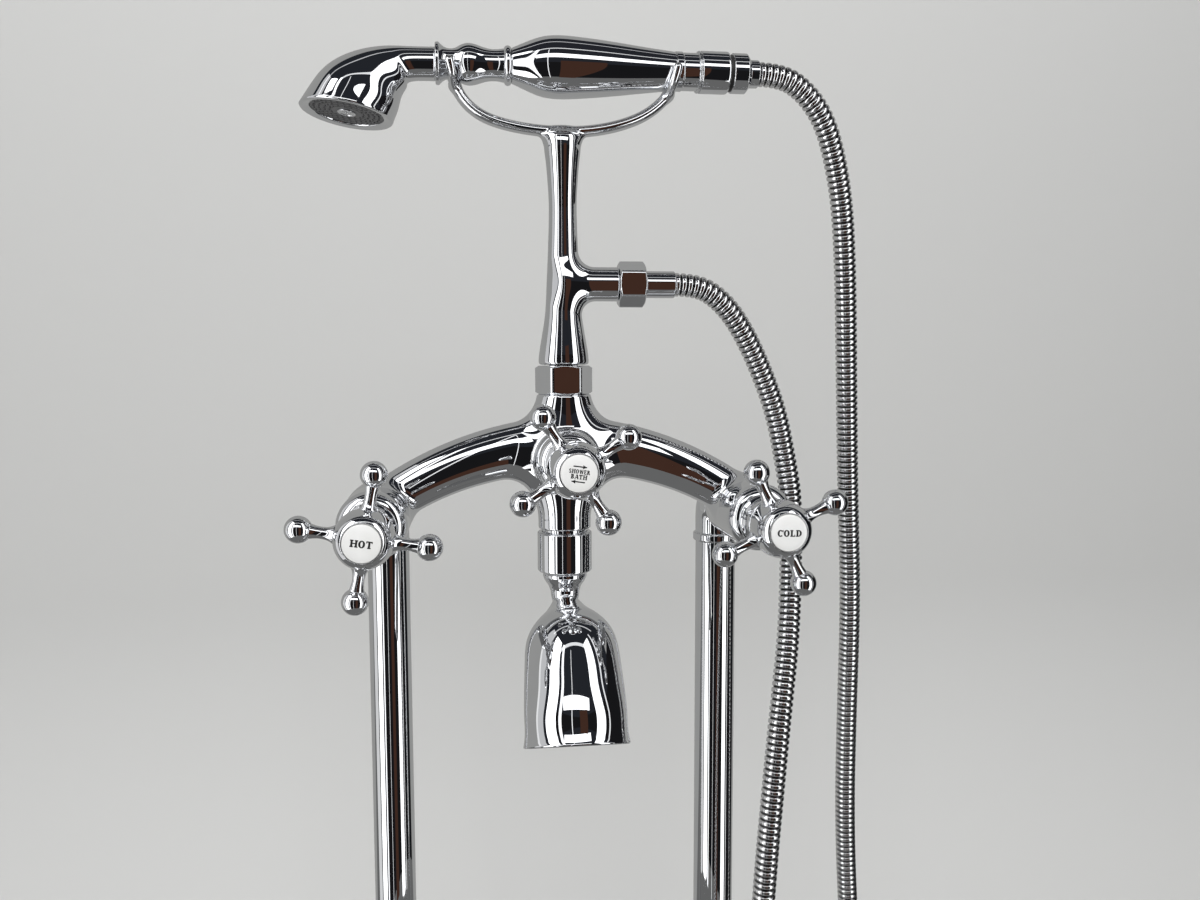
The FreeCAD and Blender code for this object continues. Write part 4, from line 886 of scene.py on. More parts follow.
# ---- valves and cross handles ------------------------------------------------------------------------------
@dataclass
class CrossHandle:
    """A bonnet with its cross handle: bell hub, four ball-ended spokes and a white index."""

    name: str
    body: Body
    x: float
    height: float
    front: float
    turn: float
    words: tuple[tuple[str, float, float, float], ...]
    tilt: float = -8.0
    hub_gap: float = 17.0
    spoke_plane: float = 14.3
    reach: float = 33.3
    ball_r: float = 7.05
    neck_r: float = 4.0
    index_gap: float = 25.4
    letter_layers: tuple[float, float] = (-0.1, 0.09)

    def base(self, forward: float = 0.0) -> Array:
        """A point on the valve's axis, so far before the bonnet's seat."""
        return np.array([self.x, -self.front - forward, self.height])

    def bonnet(self) -> Skin:
        """Stepped bonnet on the chest."""
        outline = np.concatenate([
            [(-3.0, 0.0), (-3.0, 12.0), (0.0, 12.0), (0.0, 13.7), (0.5, 14.2), (2.4, 14.2), (3.4, 13.2)],
            curve([(3.4, 13.2), (5.2, 11.9), (8.0, 11.0)], 8)[1:], [(20.0, 11.0), (20.0, 0.0)]])
        return turned(eased(outline), self.base(), FORWARD, 72)

    def hub(self) -> Skin:
        """Bell hub with its open skirt behind and the index's seat in front."""
        bell = curve([(0.6, 14.0), (5.0, 14.8), (11.0, 15.6), (17.0, 15.7), (22.0, 15.0), (25.4, 13.9), (27.8, 12.3),
                      (29.2, 10.6)], 52)
        outline = np.concatenate([
            [(9.0, 0.0), (9.0, 12.2), (0.0, 12.2), (0.0, 13.6)], bell,
            [(29.25, 10.3), (29.0, 10.05), (25.6, 9.95), (25.6, 0.0)]])
        return turned(eased(outline, 0.3), self.base(self.hub_gap), FORWARD, 96)

    def spoke(self, degrees: float) -> Skin:
        """Waisted spoke with its ball, turned about its own line."""
        a = math.radians(degrees)
        way = np.array([math.cos(a), 0.0, math.sin(a)])
        neck = math.sqrt(self.ball_r ** 2 - self.neck_r ** 2)
        start = math.degrees(math.atan2(self.neck_r, -neck))
        outline = np.concatenate([
            [(11.0, 0.0), (11.0, 4.9), (15.6, 4.9)],
            curve([(15.6, 4.8), (17.6, 3.8), (21.0, 3.15), (24.2, 3.3), (self.reach - neck, self.neck_r)], 22),
            round_arc((self.reach, 0.0), self.ball_r, start, 0.0, 30)[1:]])
        outline[-1, 1] = 0.0
        return turned(eased(outline, 0.3, 24.0), self.base(self.hub_gap + self.spoke_plane), way, 48)

    def index(self) -> Skin:
        """White disc with a slightly domed face."""
        outline = np.concatenate([[(0.0, 0.0), (0.0, 9.85), (4.2, 9.85)], self.dome()])
        outline[-1, 1] = 0.0
        return turned(eased(outline, 0.25), self.base(self.hub_gap + self.index_gap), FORWARD, 96)

    def dome(self) -> Array:
        """The index's face from its edge to its middle, as (forward, radius) points."""
        return curve([(4.55, 9.55), (4.85, 8.0), (5.1, 5.0), (5.22, 0.0)], 18)

    def letters(self) -> None:
        """Black capitals on the index, a hair proud of its dome, tilted as the disc sits."""
        dome = self.dome()[::-1]
        tilt = math.radians(self.tilt)
        turn = np.array([[math.cos(tilt), math.sin(tilt)], [-math.sin(tilt), math.cos(tilt)]])
        seat = self.base(self.hub_gap + self.index_gap)
        skins = []
        for word, row, size, squeeze in self.words:
            for flat in Lettering().strokes(word, size, squeeze):
                flat = (flat + (0.0, row)) @ turn
                out = np.interp(np.hypot(*flat.T), dome[:, 1], dome[:, 0])
                layers = [seat + np.column_stack([flat[:, 0], -out - lift, flat[:, 1]]) for lift in self.letter_layers]
                rim = np.arange(len(flat))
                walls = np.column_stack([rim, np.roll(rim, -1), np.roll(rim, -1) + len(rim), rim + len(rim)])
                skins.append(Skin(np.concatenate(layers), [rim[None] + len(rim), walls]))
        Piece(self.name + "_words", Skin.joined(skins), LETTER_BLACK, self.body).make()

    def build(self) -> None:
        """Makes the bonnet, hub, spokes, index and words."""
        cross = Skin.joined([self.spoke(self.turn + 90 * quarter) for quarter in range(4)])
        for piece, skin, finish, body, node in (
            ("_shroud", self.bonnet(), CHROME, Body.MIXER, "_bonnet"), ("_bell", self.hub(), CHROME, self.body, "_hub"),
            ("_cross", cross, CHROME, self.body, "_spokes"), ("_disc", self.index(), GLAZE, self.body, "_index"),
        ):
            Piece(self.name + piece, skin, finish, body, (self.name + node,)).make()
        self.letters()


# ---- riser and cradle --------------------------------------------------------------------------------------
@dataclass
class Riser:
    """Turned riser with the hose branch and the forked cradle, and the nut under it."""

    foot: float = 88.2
    branch_r: float = 10.0
    branch_end: float = 32.4
    fork_rod: float = 2.6
    fork_left: tuple[float, float] = (-64.5, 12.3)
    fork_right: tuple[float, float] = (65.8, 14.5)
    fork_drop: float = 1.5
    fork_lean: float = 14.0
    fork_fillet: float = 3.0
    branch_fillet: float = 9.0
    strap_fillet: float = 7.0
    strap_thick: float = 3.2
    strap_wide: float = 5.2
    stem_top: float = 222.0
    strap: list[tuple[float, float]] = field(default_factory=lambda: [
        (-61.4, 247.1), (-58.4, 241.8), (-53.2, 235.6), (-45.3, 230.3), (-33.0, 226.2), (-15.0, 223.4), (0.0, 222.8),
        (15.0, 223.6), (35.0, 227.8), (47.6, 233.0), (56.4, 239.2), (62.2, 245.0)])
    stem: list[tuple[float, float]] = field(default_factory=lambda: [
        (88.0, 14.4), (89.6, 14.8), (91.5, 14.8), (96.5, 14.2), (102.6, 13.2), (109.5, 12.0), (116.7, 10.95),
        (125.0, 10.25), (135.0, 9.8), (149.0, 9.1), (163.7, 8.5), (172.0, 8.25), (181.0, 8.15), (189.0, 8.45),
        (198.0, 9.1), (206.0, 9.8), (213.0, 10.6), (217.0, 10.3), (220.5, 8.0), (223.0, 3.0)])

    def __post_init__(self) -> None:
        """Works out the smooth outline of the stem and the line of the strap."""
        self.stem_line = curve(self.stem, 500)
        self.strap_line = curve(self.strap, 56)

    def strap_distance(self, p: Array) -> Array:
        """Distance to the oval strap: in its plane to the nearest stretch of its line, across it scaled."""
        flat = p[:, [0, 2]]
        nearest = np.full(len(p), 1e9)
        for a, b in zip(self.strap_line, self.strap_line[1:]):
            way = b - a
            share = np.clip(((flat - a) @ way) / (way @ way), 0, 1)
            gap = flat - a - share[:, None] * way
            nearest = np.minimum(nearest, (gap ** 2).sum(-1))
        return (np.hypot(np.sqrt(nearest) / self.strap_thick, p[:, 1] / self.strap_wide) - 1) * self.strap_thick

    def distance(self, p: Array) -> Array:
        """Signed distance of stem, branch, strap and forks, flowing into each other."""
        out = np.hypot(p[:, 0], p[:, 1])
        profile = np.interp(p[:, 2], self.stem_line[:, 0], self.stem_line[:, 1])
        stem = trimmed(out - profile, np.maximum(self.foot - p[:, 2], p[:, 2] - self.stem_top), 0.8)
        branch = bar((0, 0, BRANCH_HEIGHT), (self.branch_end, 0, BRANCH_HEIGHT), self.branch_r, 0.5, 1.0)(p)
        shape = flowing(stem, branch, self.branch_fillet)
        strap = self.strap_distance(p)
        for x, bend in (self.fork_left, self.fork_right):
            half = math.acos(self.fork_drop / bend)
            lean = math.copysign(math.radians(self.fork_lean), x)
            low = DOWN * math.cos(lean) - RIGHT * math.sin(lean)
            fork = bent_bar((x, 0, HANDSET_HEIGHT), AWAY, low, bend, half, self.fork_rod)(p)
            strap = flowing(strap, fork, self.fork_fillet)
        return flowing(shape, strap, self.strap_fillet)

    def build(self) -> None:
        """Makes the casting and its nut."""
        skin = netted(self.distance, (-72, -20, 86), (74, 20, 262), 1.0)
        Piece("riser_casting", skin, CHROME, nodes=("riser",)).make()
        nut = hexagonal(30.0, 16.85, (0, 0, 70.75), UP, 30.0)
        Piece("riser_hexagon", nut, CHROME, nodes=("riser_nut",)).make()
        tail = [(72.0, 0.0), (72.0, 8.7), (95.0, 8.7), (95.0, 0.0)]
        Piece("riser_tail_sleeve", turned(tail, (0, 0, 0), UP), CHROME, nodes=("riser_tail",)).make()


# ---- handset -----------------------------------------------------------------------------------------------
@dataclass
class Handset:
    """Telephone handset from its curved head to the hose's swivel end."""

    neck_x: float = -72.2
    ring_x: float = -31.2
    end_ring_x: float = 65.9
    face_x: float = -122.0
    face_z: float = 229.2
    face_tilt: float = 8.5
    plate_r: float = 20.4
    roll: float = 4.0
    head: list[tuple[float, float, float, float]] = field(default_factory=lambda: [
        (-72.2, 258.6, 9.2, 0.0), (-84.0, 258.3, 9.25, 5.0), (-94.3, 256.4, 12.2, 29.4), (-104.6, 251.5, 17.4, 50.2),
        (-113.7, 242.8, 22.6, 64.4), (-119.4, 233.9, 24.8, 76.2), (-122.0, 229.2, 26.0, 81.5)])

    def along(self, outline: Sequence[Sequence[float]], sides: int = 96) -> Skin:
        """Turns a profile about the handset's axis."""
        return turned(outline, (0, 0, HANDSET_HEIGHT), RIGHT, sides)

    def baluster(self) -> Skin:
        """Flared collar, neck and ring."""
        x, ring = self.neck_x, self.ring_x
        outline = np.concatenate([
            [(x - 6, 0.0), (x - 6, 6.0), (x, 6.0), (x, 11.1), (x + 0.5, 11.6), (x + 1.7, 11.6)],
            curve([(x + 2.2, 11.3), (-68.4, 9.8), (-66.5, 8.7), (-64.5, 8.2), (-61.5, 8.5), (-57.8, 10.3),
                   (-53.7, 11.4), (-49.2, 10.8), (-44.0, 9.2), (-38.5, 8.6), (ring - 2.2, 9.2)], 90),
            round_arc((ring, 8.7), 2.2, 160, 20, 12), [(ring + 2.2, 8.6), (ring + 4.0, 8.6), (ring + 4.0, 0.0)]])
        return self.along(eased(outline, 0.3))

    def handle(self) -> Skin:
        """Swelling handle."""
        start = self.ring_x + 2.2
        swell = curve([(start, 9.7), (-22.0, 12.6), (-12.0, 16.2), (-2.2, 17.3), (8.0, 16.9), (30.4, 14.8),
                       (48.0, 12.7), (self.end_ring_x, 10.8)], 110)
        return self.along(eased(np.concatenate([[(start, 0.0)], swell, [(self.end_ring_x, 0.0)]]), 0.3))

    def tail(self) -> Skin:
        """End ring, plain tail and end bead."""
        x = self.end_ring_x
        outline = np.concatenate([
            [(x, 0.0), (x, 10.5), (x + 0.5, 11.1), (x + 4.0, 11.1), (x + 4.6, 10.6), (79.4, 10.6)],
            round_arc((80.1, 10.8), 1.0, 170, 30, 9), [(80.7, 10.8), (80.7, 9.5), (90.0, 9.5), (90.0, 0.0)]])
        return self.along(eased(outline, 0.3))

    def nut(self) -> Skin:
        """Round swivel nut with softly rounded shoulders."""
        outline = np.concatenate([
            [(80.85, 0.0), (80.85, 11.3), (81.4, 11.9), (96.4, 11.9)],
            curve([(96.4, 11.9), (97.4, 11.6), (98.0, 10.8)], 8)[1:], [(98.0, 0.0)]])
        return self.along(eased(outline, 0.3))

    def ring(self) -> Skin:
        """Black ring between the nut and the cone."""
        return self.along(eased([(98.0, 0.0), (98.0, 10.4), (99.9, 10.4), (99.9, 0.0)], 0.2), 72)

    def cone(self) -> Skin:
        """Hose end collar with a chamfered front."""
        outline = [(99.9, 0.0), (99.9, 10.8), (100.4, 11.3), (108.6, 11.3), (110.8, 8.4), (110.8, 0.0)]
        return self.along(eased(outline, 0.3))

    def ferrule(self) -> Skin:
        """Short sleeve over the hose's end."""
        outline = [(110.0, 0.0), (110.0, 7.4), (111.0, 7.9), (115.8, 7.9), (116.3, 7.4), (116.3, 0.0)]
        return self.along(eased(outline, 0.3), 72)

    def face_way(self) -> Array:
        """The way that the spray face looks."""
        a = math.radians(90 - self.face_tilt)
        return np.array([-math.cos(a), 0.0, -math.sin(a)])

    def head_skin(self) -> Skin:
        """Curved head: circles whose centre, radius and lean run smoothly from the neck to the rim, then the lip."""
        rows = curve(self.head, 90)
        x, z, radius, tilt = rows.T
        lip = np.array([(0.35, 25.85), (0.75, 25.4), (0.95, 24.7), (0.9, 23.9), (0.6, 22.9), (0.25, 21.8), (0.0, 21.0),
                        (-0.3, 20.65), (-0.8, 20.5), (-3.0, 20.5)])
        way = self.face_way()
        x = np.concatenate([x, self.face_x + lip[:, 0] * way[0]])
        z = np.concatenate([z, self.face_z + lip[:, 0] * way[2]])
        radius = np.concatenate([radius, lip[:, 1]])
        tilt = np.radians(np.concatenate([tilt, np.full(len(lip), 90 - self.face_tilt)]))
        flat = np.zeros_like(x)
        ways = np.column_stack([-np.cos(tilt), flat, -np.sin(tilt)])
        return leaning(np.column_stack([x, flat, z]), ways, AWAY, radius, 112).rolled(self.roll)

    def face_middle(self) -> Array:
        """The middle of the spray face."""
        return np.array([self.face_x, 0.0, self.face_z])

    def face_point(self, out: float, angle: float, depth: float) -> Array:
        """A point on the spray face: so far from its middle, at an angle, and so far out of the face."""
        way = self.face_way()
        return self.face_middle() + way * depth + out * (math.cos(angle) * AWAY + math.sin(angle) * np.cross(way, AWAY))

    def plate(self) -> Skin:
        """Spray plate with shallow rings turned in it."""
        outline = [(-4.0, 0.0), (-4.0, self.plate_r), (-0.95, self.plate_r), (-0.75, self.plate_r - 0.4)]
        for radius in (18.4, 15.4, 12.4, 9.4):
            outline += [(-0.75, radius + 1.15), (-0.95, radius + 0.95), (-0.95, radius - 0.95),
                        (-0.75, radius - 1.15)]
        outline += [(-0.75, 5.6), (-0.95, 5.4), (-0.95, 0.0)]
        return turned(eased(outline, 0.1), self.face_middle(), self.face_way(), 112).rolled(self.roll)

    def nozzles(self) -> Skin:
        """Rings of small round nozzles standing on the plate."""
        skins = []
        for out, count in ((9.4, 16), (12.4, 22), (15.4, 28), (18.2, 34)):
            for angle in np.arange(count) * 2 * math.pi / count:
                foot = self.face_point(out, angle, -0.95)
                outline = [(-0.2, 0.0), (-0.2, 0.62), (0.35, 0.55), (0.55, 0.38), (0.55, 0.2), (0.3, 0.0)]
                skins.append(turned(outline, foot, self.face_way(), 10))
        return Skin.joined(skins).rolled(self.roll)

    def jet(self) -> Skin:
        """Bright centre jet: a rim round a dished middle."""
        outline = [(-3.5, 0.0), (-3.5, 5.2), (-0.3, 5.2), (0.0, 4.9), (0.0, 4.3), (-0.5, 3.9), (-0.9, 2.4), (-0.6, 1.7),
                   (-0.6, 1.2), (-2.0, 1.0), (-2.0, 0.0)]
        return turned(eased(outline, 0.12), self.face_middle(), self.face_way(), 48).rolled(self.roll)

    def build(self) -> None:
        """Makes every piece of the handset."""
        for name, skin, finish, nodes in (
            ("handset_collar", self.baluster(), CHROME, ("handset_baluster",)),
            ("handset_grip", self.handle(), CHROME, ("handset_handle",)),
            ("handset_end", self.tail(), CHROME, ("handset_tail",)),
            ("handset_swivel", self.nut(), CHROME, ("handset_nut",)),
            ("swivel_ring", self.ring(), BLACK, ("hose_cone_ring",)),
            ("hose_end_collar", self.cone(), CHROME, ("hose_cone",)),
            ("hose_end_sleeve", self.ferrule(), CHROME, ("hose_ferrule_upper",)),
            ("handset_bell", self.head_skin(), CHROME, ("handset_head",)),
            ("spray_disc", self.plate(), SPRAY_GREY, ("spray_plate",)),
            ("spray_nozzles", self.nozzles(), SPRAY_GREY, ()),
            ("spray_centre", self.jet(), CHROME, ("spray_jet",)),
        ):
            Piece(name, skin, finish, Body.HANDSET, nodes).make()


# ---- spout -------------------------------------------------------------------------------------------------
@dataclass
class Spout:
    """Swivel collar and the bell-mouthed spout under the barrel."""

    wall: float = 2.0
    sections: list[tuple[float, float, float, float]] = field(default_factory=lambda: [
        (0, -41.0, 8.7, 0), (0.5, -47.0, 8.7, 5), (6.0, -55.0, 9.0, 40), (17.0, -61.5, 15.6, 52),
        (31.0, -68.0, 24.3, 50), (42.0, -77.0, 26.9, 40), (52.0, -91.0, 27.9, 30), (60.0, -104.0, 28.4, 24),
        (64.9, -115.4, 28.7, 22), (66.0, -118.0, 29.2, 21.6)])
    throat_rows: int = 20

    def collar(self) -> Skin:
        """Collar on the barrel's nipple, with a small lip below."""
        outline = [(-35.5, 11.0), (-35.5, 15.5), (-34.7, 16.3), (-12.1, 16.3), (-11.3, 15.5), (-11.3, 13.7),
                   (-20.0, 13.7), (-20.0, 11.0)]
        return turned(eased(outline, 0.4), (0, 0, 0), UP, 96, closed=True)

    def cup(self) -> Skin:
        """Turned cup under the collar."""
        outline = np.concatenate([
            [(-30.0, 0.0), (-30.0, 10.7), (-36.0, 10.7), (-36.0, 12.4), (-36.8, 13.2), (-38.5, 13.2)],
            curve([(-38.5, 13.2), (-41.0, 12.2), (-44.0, 10.2), (-47.5, 8.9)], 16)[1:], [(-47.5, 0.0)]])
        outline[:, 0] *= -1
        return turned(eased(outline, 0.3), (0, 0, 0), DOWN, 96)

    def horn(self) -> Skin:
        """Horn from the neck to the bell's mouth, its rolled lip, and the inside back up to the throat."""
        rows = curve(self.sections, 110)
        forward, z, radius, tilt = rows.T
        way_end = math.radians(self.sections[-1][3])
        lip = np.array([(0.35, 0.12), (0.8, 0.0), (1.15, -0.4), (1.3, -1.0), (1.2, -1.5), (0.7, -1.85), (0.0, -1.95)])
        lip[:, 1] += radius[-1]
        back = rows[:self.throat_rows - 1:-1]
        forward = np.concatenate([forward, forward[-1] + lip[:, 0] * math.sin(way_end), back[:, 0]])
        z = np.concatenate([z, z[-1] - lip[:, 0] * math.cos(way_end), back[:, 1]])
        radius = np.concatenate([radius, lip[:, 1], back[:, 2] - self.wall])
        tilt = np.radians(np.concatenate([tilt, np.full(len(lip), self.sections[-1][3]), back[:, 3]]))
        flat = np.zeros_like(z)
        ways = np.column_stack([flat, -np.sin(tilt), -np.cos(tilt)])
        return leaning(np.column_stack([flat, -forward, z]), ways, RIGHT, radius, 120)

    def build(self) -> None:
        """Makes the collar, cup and horn."""
        Piece("swivel_collar", self.collar(), CHROME, nodes=("spout_collar",)).make()
        Piece("spout_bell", Skin.joined([self.horn(), self.cup()]), CHROME, Body.SPOUT, ("spout",)).make()


# ---- hose --------------------------------------------------------------------------------------------------
@dataclass
class Hose:
    """Interlocked metal hose and the fittings of its branch end."""

    radius: float = 7.0
    pitch: float = 3.7
    length: float = 1500.0
    sides: int = 24
    # Depth below a rib's top from which the painted groove shade starts.
    shade_onset: float = 0.45
    loop_r: float = 76.0
    loop_height: float = -392.0
    loop_way: tuple[float, float] = (0.677, 0.736)
    bend_from: tuple[float, float, float] = (145.0, 0.0, 0.0)
    bend_to: tuple[float, float, float] = (177.94, 0.0, 8.24)
    down: list[tuple[float, float, float]] = field(default_factory=lambda: [
        (66.5, 0, 135.4), (80, 0, 135.4), (93.8, 1, 127.8), (106.5, 4, 114.2), (119.8, 8, 91.7), (133.1, 10, 60),
        (139.5, 9, 28), (142.3, 4, 2.5), (141.2, 0, -41.5), (136.3, -12, -80), (128.4, -24, -118.5),
        (121.9, -32, -162), (116.6, -36, -210.7), (112.8, -38, -264.5), (111.5, -38, -318.4), (111, -38, -370)])
    rising: list[tuple[float, float, float]] = field(default_factory=lambda: [
        (116.3, 0, 259.0), (131, 0, 259.0), (146.2, 2, 250.5), (158.8, 5, 236.3), (167.8, 10, 216.7),
        (176.4, 17, 187.6), (182.9, 26, 144), (188.7, 36, 81.1), (194.6, 45, 3.9), (201.4, 53, -72.7),
        (203.7, 62, -158.7), (206.5, 69, -242), (213.9, 74, -330)])

    def route(self) -> list[Array]:
        """Control points: from the branch down, round the low loop and up to the handset."""
        points = [np.array(p, float) for p in self.down]
        low, r = self.down[-1], self.loop_r
        for u, drop in ((0, 20.4), (20.4, 55.6), (55.6, r), (2 * r - 55.6, r), (2 * r - 20.4, 55.6), (2 * r, 20.4)):
            x, y = low[0] + u * self.loop_way[0], low[1] + u * self.loop_way[1]
            points.append(np.array([x, y, self.loop_height - drop]))
        return points + [np.array(p, float) for p in reversed(self.rising)]

    def line(self) -> Array:
        """The smooth line through the route, as a NURBS spline draws it, in the mixer's frame."""
        data = bpy.data.curves.new("hose_line", "CURVE")
        data.dimensions = "3D"
        data.resolution_u = 40
        spline = data.splines.new("NURBS")
        route = self.route()
        spline.points.add(len(route) - 1)
        for point, place in zip(spline.points, route):
            point.co = (*place, 1.0)
        spline.order_u = 3
        spline.use_endpoint_u = True
        holder = placed("hose_line", data)
        bpy.context.view_layer.update()
        mesh = bpy.data.meshes.new_from_object(holder)
        points = np.empty(len(mesh.vertices) * 3)
        mesh.vertices.foreach_get("co", points)
        bpy.data.objects.remove(holder)
        return points.reshape(-1, 3)

    def skin(self, line: Array) -> Skin:
        """Ribbed tube: along each pitch the radius climbs from the groove's flat over one round rib.

        A point counts as in the groove, where the finish paints shade, from the threshold depth below the rib's top,
        and wholly so at twice that.
        """
        gaps = np.linalg.norm(np.diff(line, axis=0), axis=1)
        run = np.concatenate([[0.0], np.cumsum(gaps)])
        ribs = int(round(run[-1] / self.pitch))
        shape = np.array([(0.0, -1.0), (0.05, -0.5), (0.12, -0.18), (0.22, -0.03), (0.38, 0.0), (0.54, -0.04),
                          (0.66, -0.2), (0.74, -0.55), (0.79, -1.0), (0.95, -1.05)])
        along = ((np.arange(ribs)[:, None] + shape[None, :, 0]) / ribs * run[-1]).ravel()
        radii = np.tile(self.radius + shape[:, 1], ribs)
        # Painted shade mask: 0 on the ribs' tops, 1 deep in the grooves.
        groove = np.clip((self.radius - self.shade_onset - radii) / self.shade_onset, 0, 1)
        path = np.column_stack([np.interp(along, run, line[:, k]) for k in range(3)])
        hint = np.array([-self.loop_way[1], self.loop_way[0], 0.0])
        made = carried(path, circle_offsets(radii, self.sides), hint)
        made.groove = np.concatenate([np.repeat(groove, self.sides), [1.0, 1.0]])
        return made

    def nut(self) -> Skin:
        """Hexagon nut on the branch."""
        return hexagonal(24.0, 15.6, (32.6, 0, BRANCH_HEIGHT), RIGHT, 90.0)

    def ferrule(self) -> Skin:
        """Plain sleeve between the nut and the hose."""
        outline = [(44.0, 0.0), (44.0, 6.7), (48.6, 6.7), (48.7, 7.4), (49.2, 7.9), (66.0, 7.9), (66.5, 7.4),
                   (66.5, 0.0)]
        return turned(eased(outline, 0.3), (0, 0, BRANCH_HEIGHT), RIGHT, 72)

    def build(self) -> None:
        """Makes the hose and its lower fittings."""
        Piece("hose_hexagon", self.nut(), CHROME, nodes=("hose_nut",)).make()
        Piece("hose_sleeve", self.ferrule(), CHROME, nodes=("hose_ferrule_lower",)).make()
        line = self.line()
        tube = Piece("metal_hose", self.skin(line), HOSE_METAL, None, ("hose",)).make()
        start, end = np.array(self.bend_from), np.array(self.bend_to)
        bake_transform(tube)
        path = (line[::6] + MIXER_ORIGIN) * MM
        path[-1] = (line[-1] + MIXER_ORIGIN) * MM
        (np.array(self.down[0]) + MIXER_ORIGIN) * MM


# ---- hidden fittings that stay as they are -----------------------------------------------------------------
def dress_frame(frame: dict) -> None:
    """Gives the frame's own nodes their finishes."""
    by_slot = {f.slot: f for f in (CHROME, HOSE_METAL, GLAZE, SPRAY_GREY, BLACK, BRASS, RUBBER, STEEL, SLIP)}
    slots = {part["node"]: part["material_slot"] for part in frame["record"]["subparts"]}
    for name, obj in frame["nodes"].items():
        obj.data.materials.clear()
        obj.data.materials.append(by_slot[slots[name]].material())


# ---- studio ------------------------------------------------------------------------------------------------
def facing(side: Array, up: Array, back: Array, place: Sequence[float]) -> Matrix:
    """The matrix of a camera or light from its three directions and its place."""
    matrix = np.eye(4)
    matrix[:3] = np.column_stack([side, up, back, place])
    return Matrix(matrix.tolist())


def chosen(tree: bpy.types.NodeTree, mask: bpy.types.NodeSocket, first: bpy.types.Node, second: bpy.types.Node,
           output: str) -> None:
    """Shows the second shader where the mask is one, and the first elsewhere."""
    mix = tree.nodes.new("ShaderNodeMixShader")
    for source, socket in zip((mask, first.outputs[0], second.outputs[0]), mix.inputs):
        tree.links.new(source, socket)
    tree.links.new(mix.outputs[0], tree.nodes[output].inputs["Surface"])


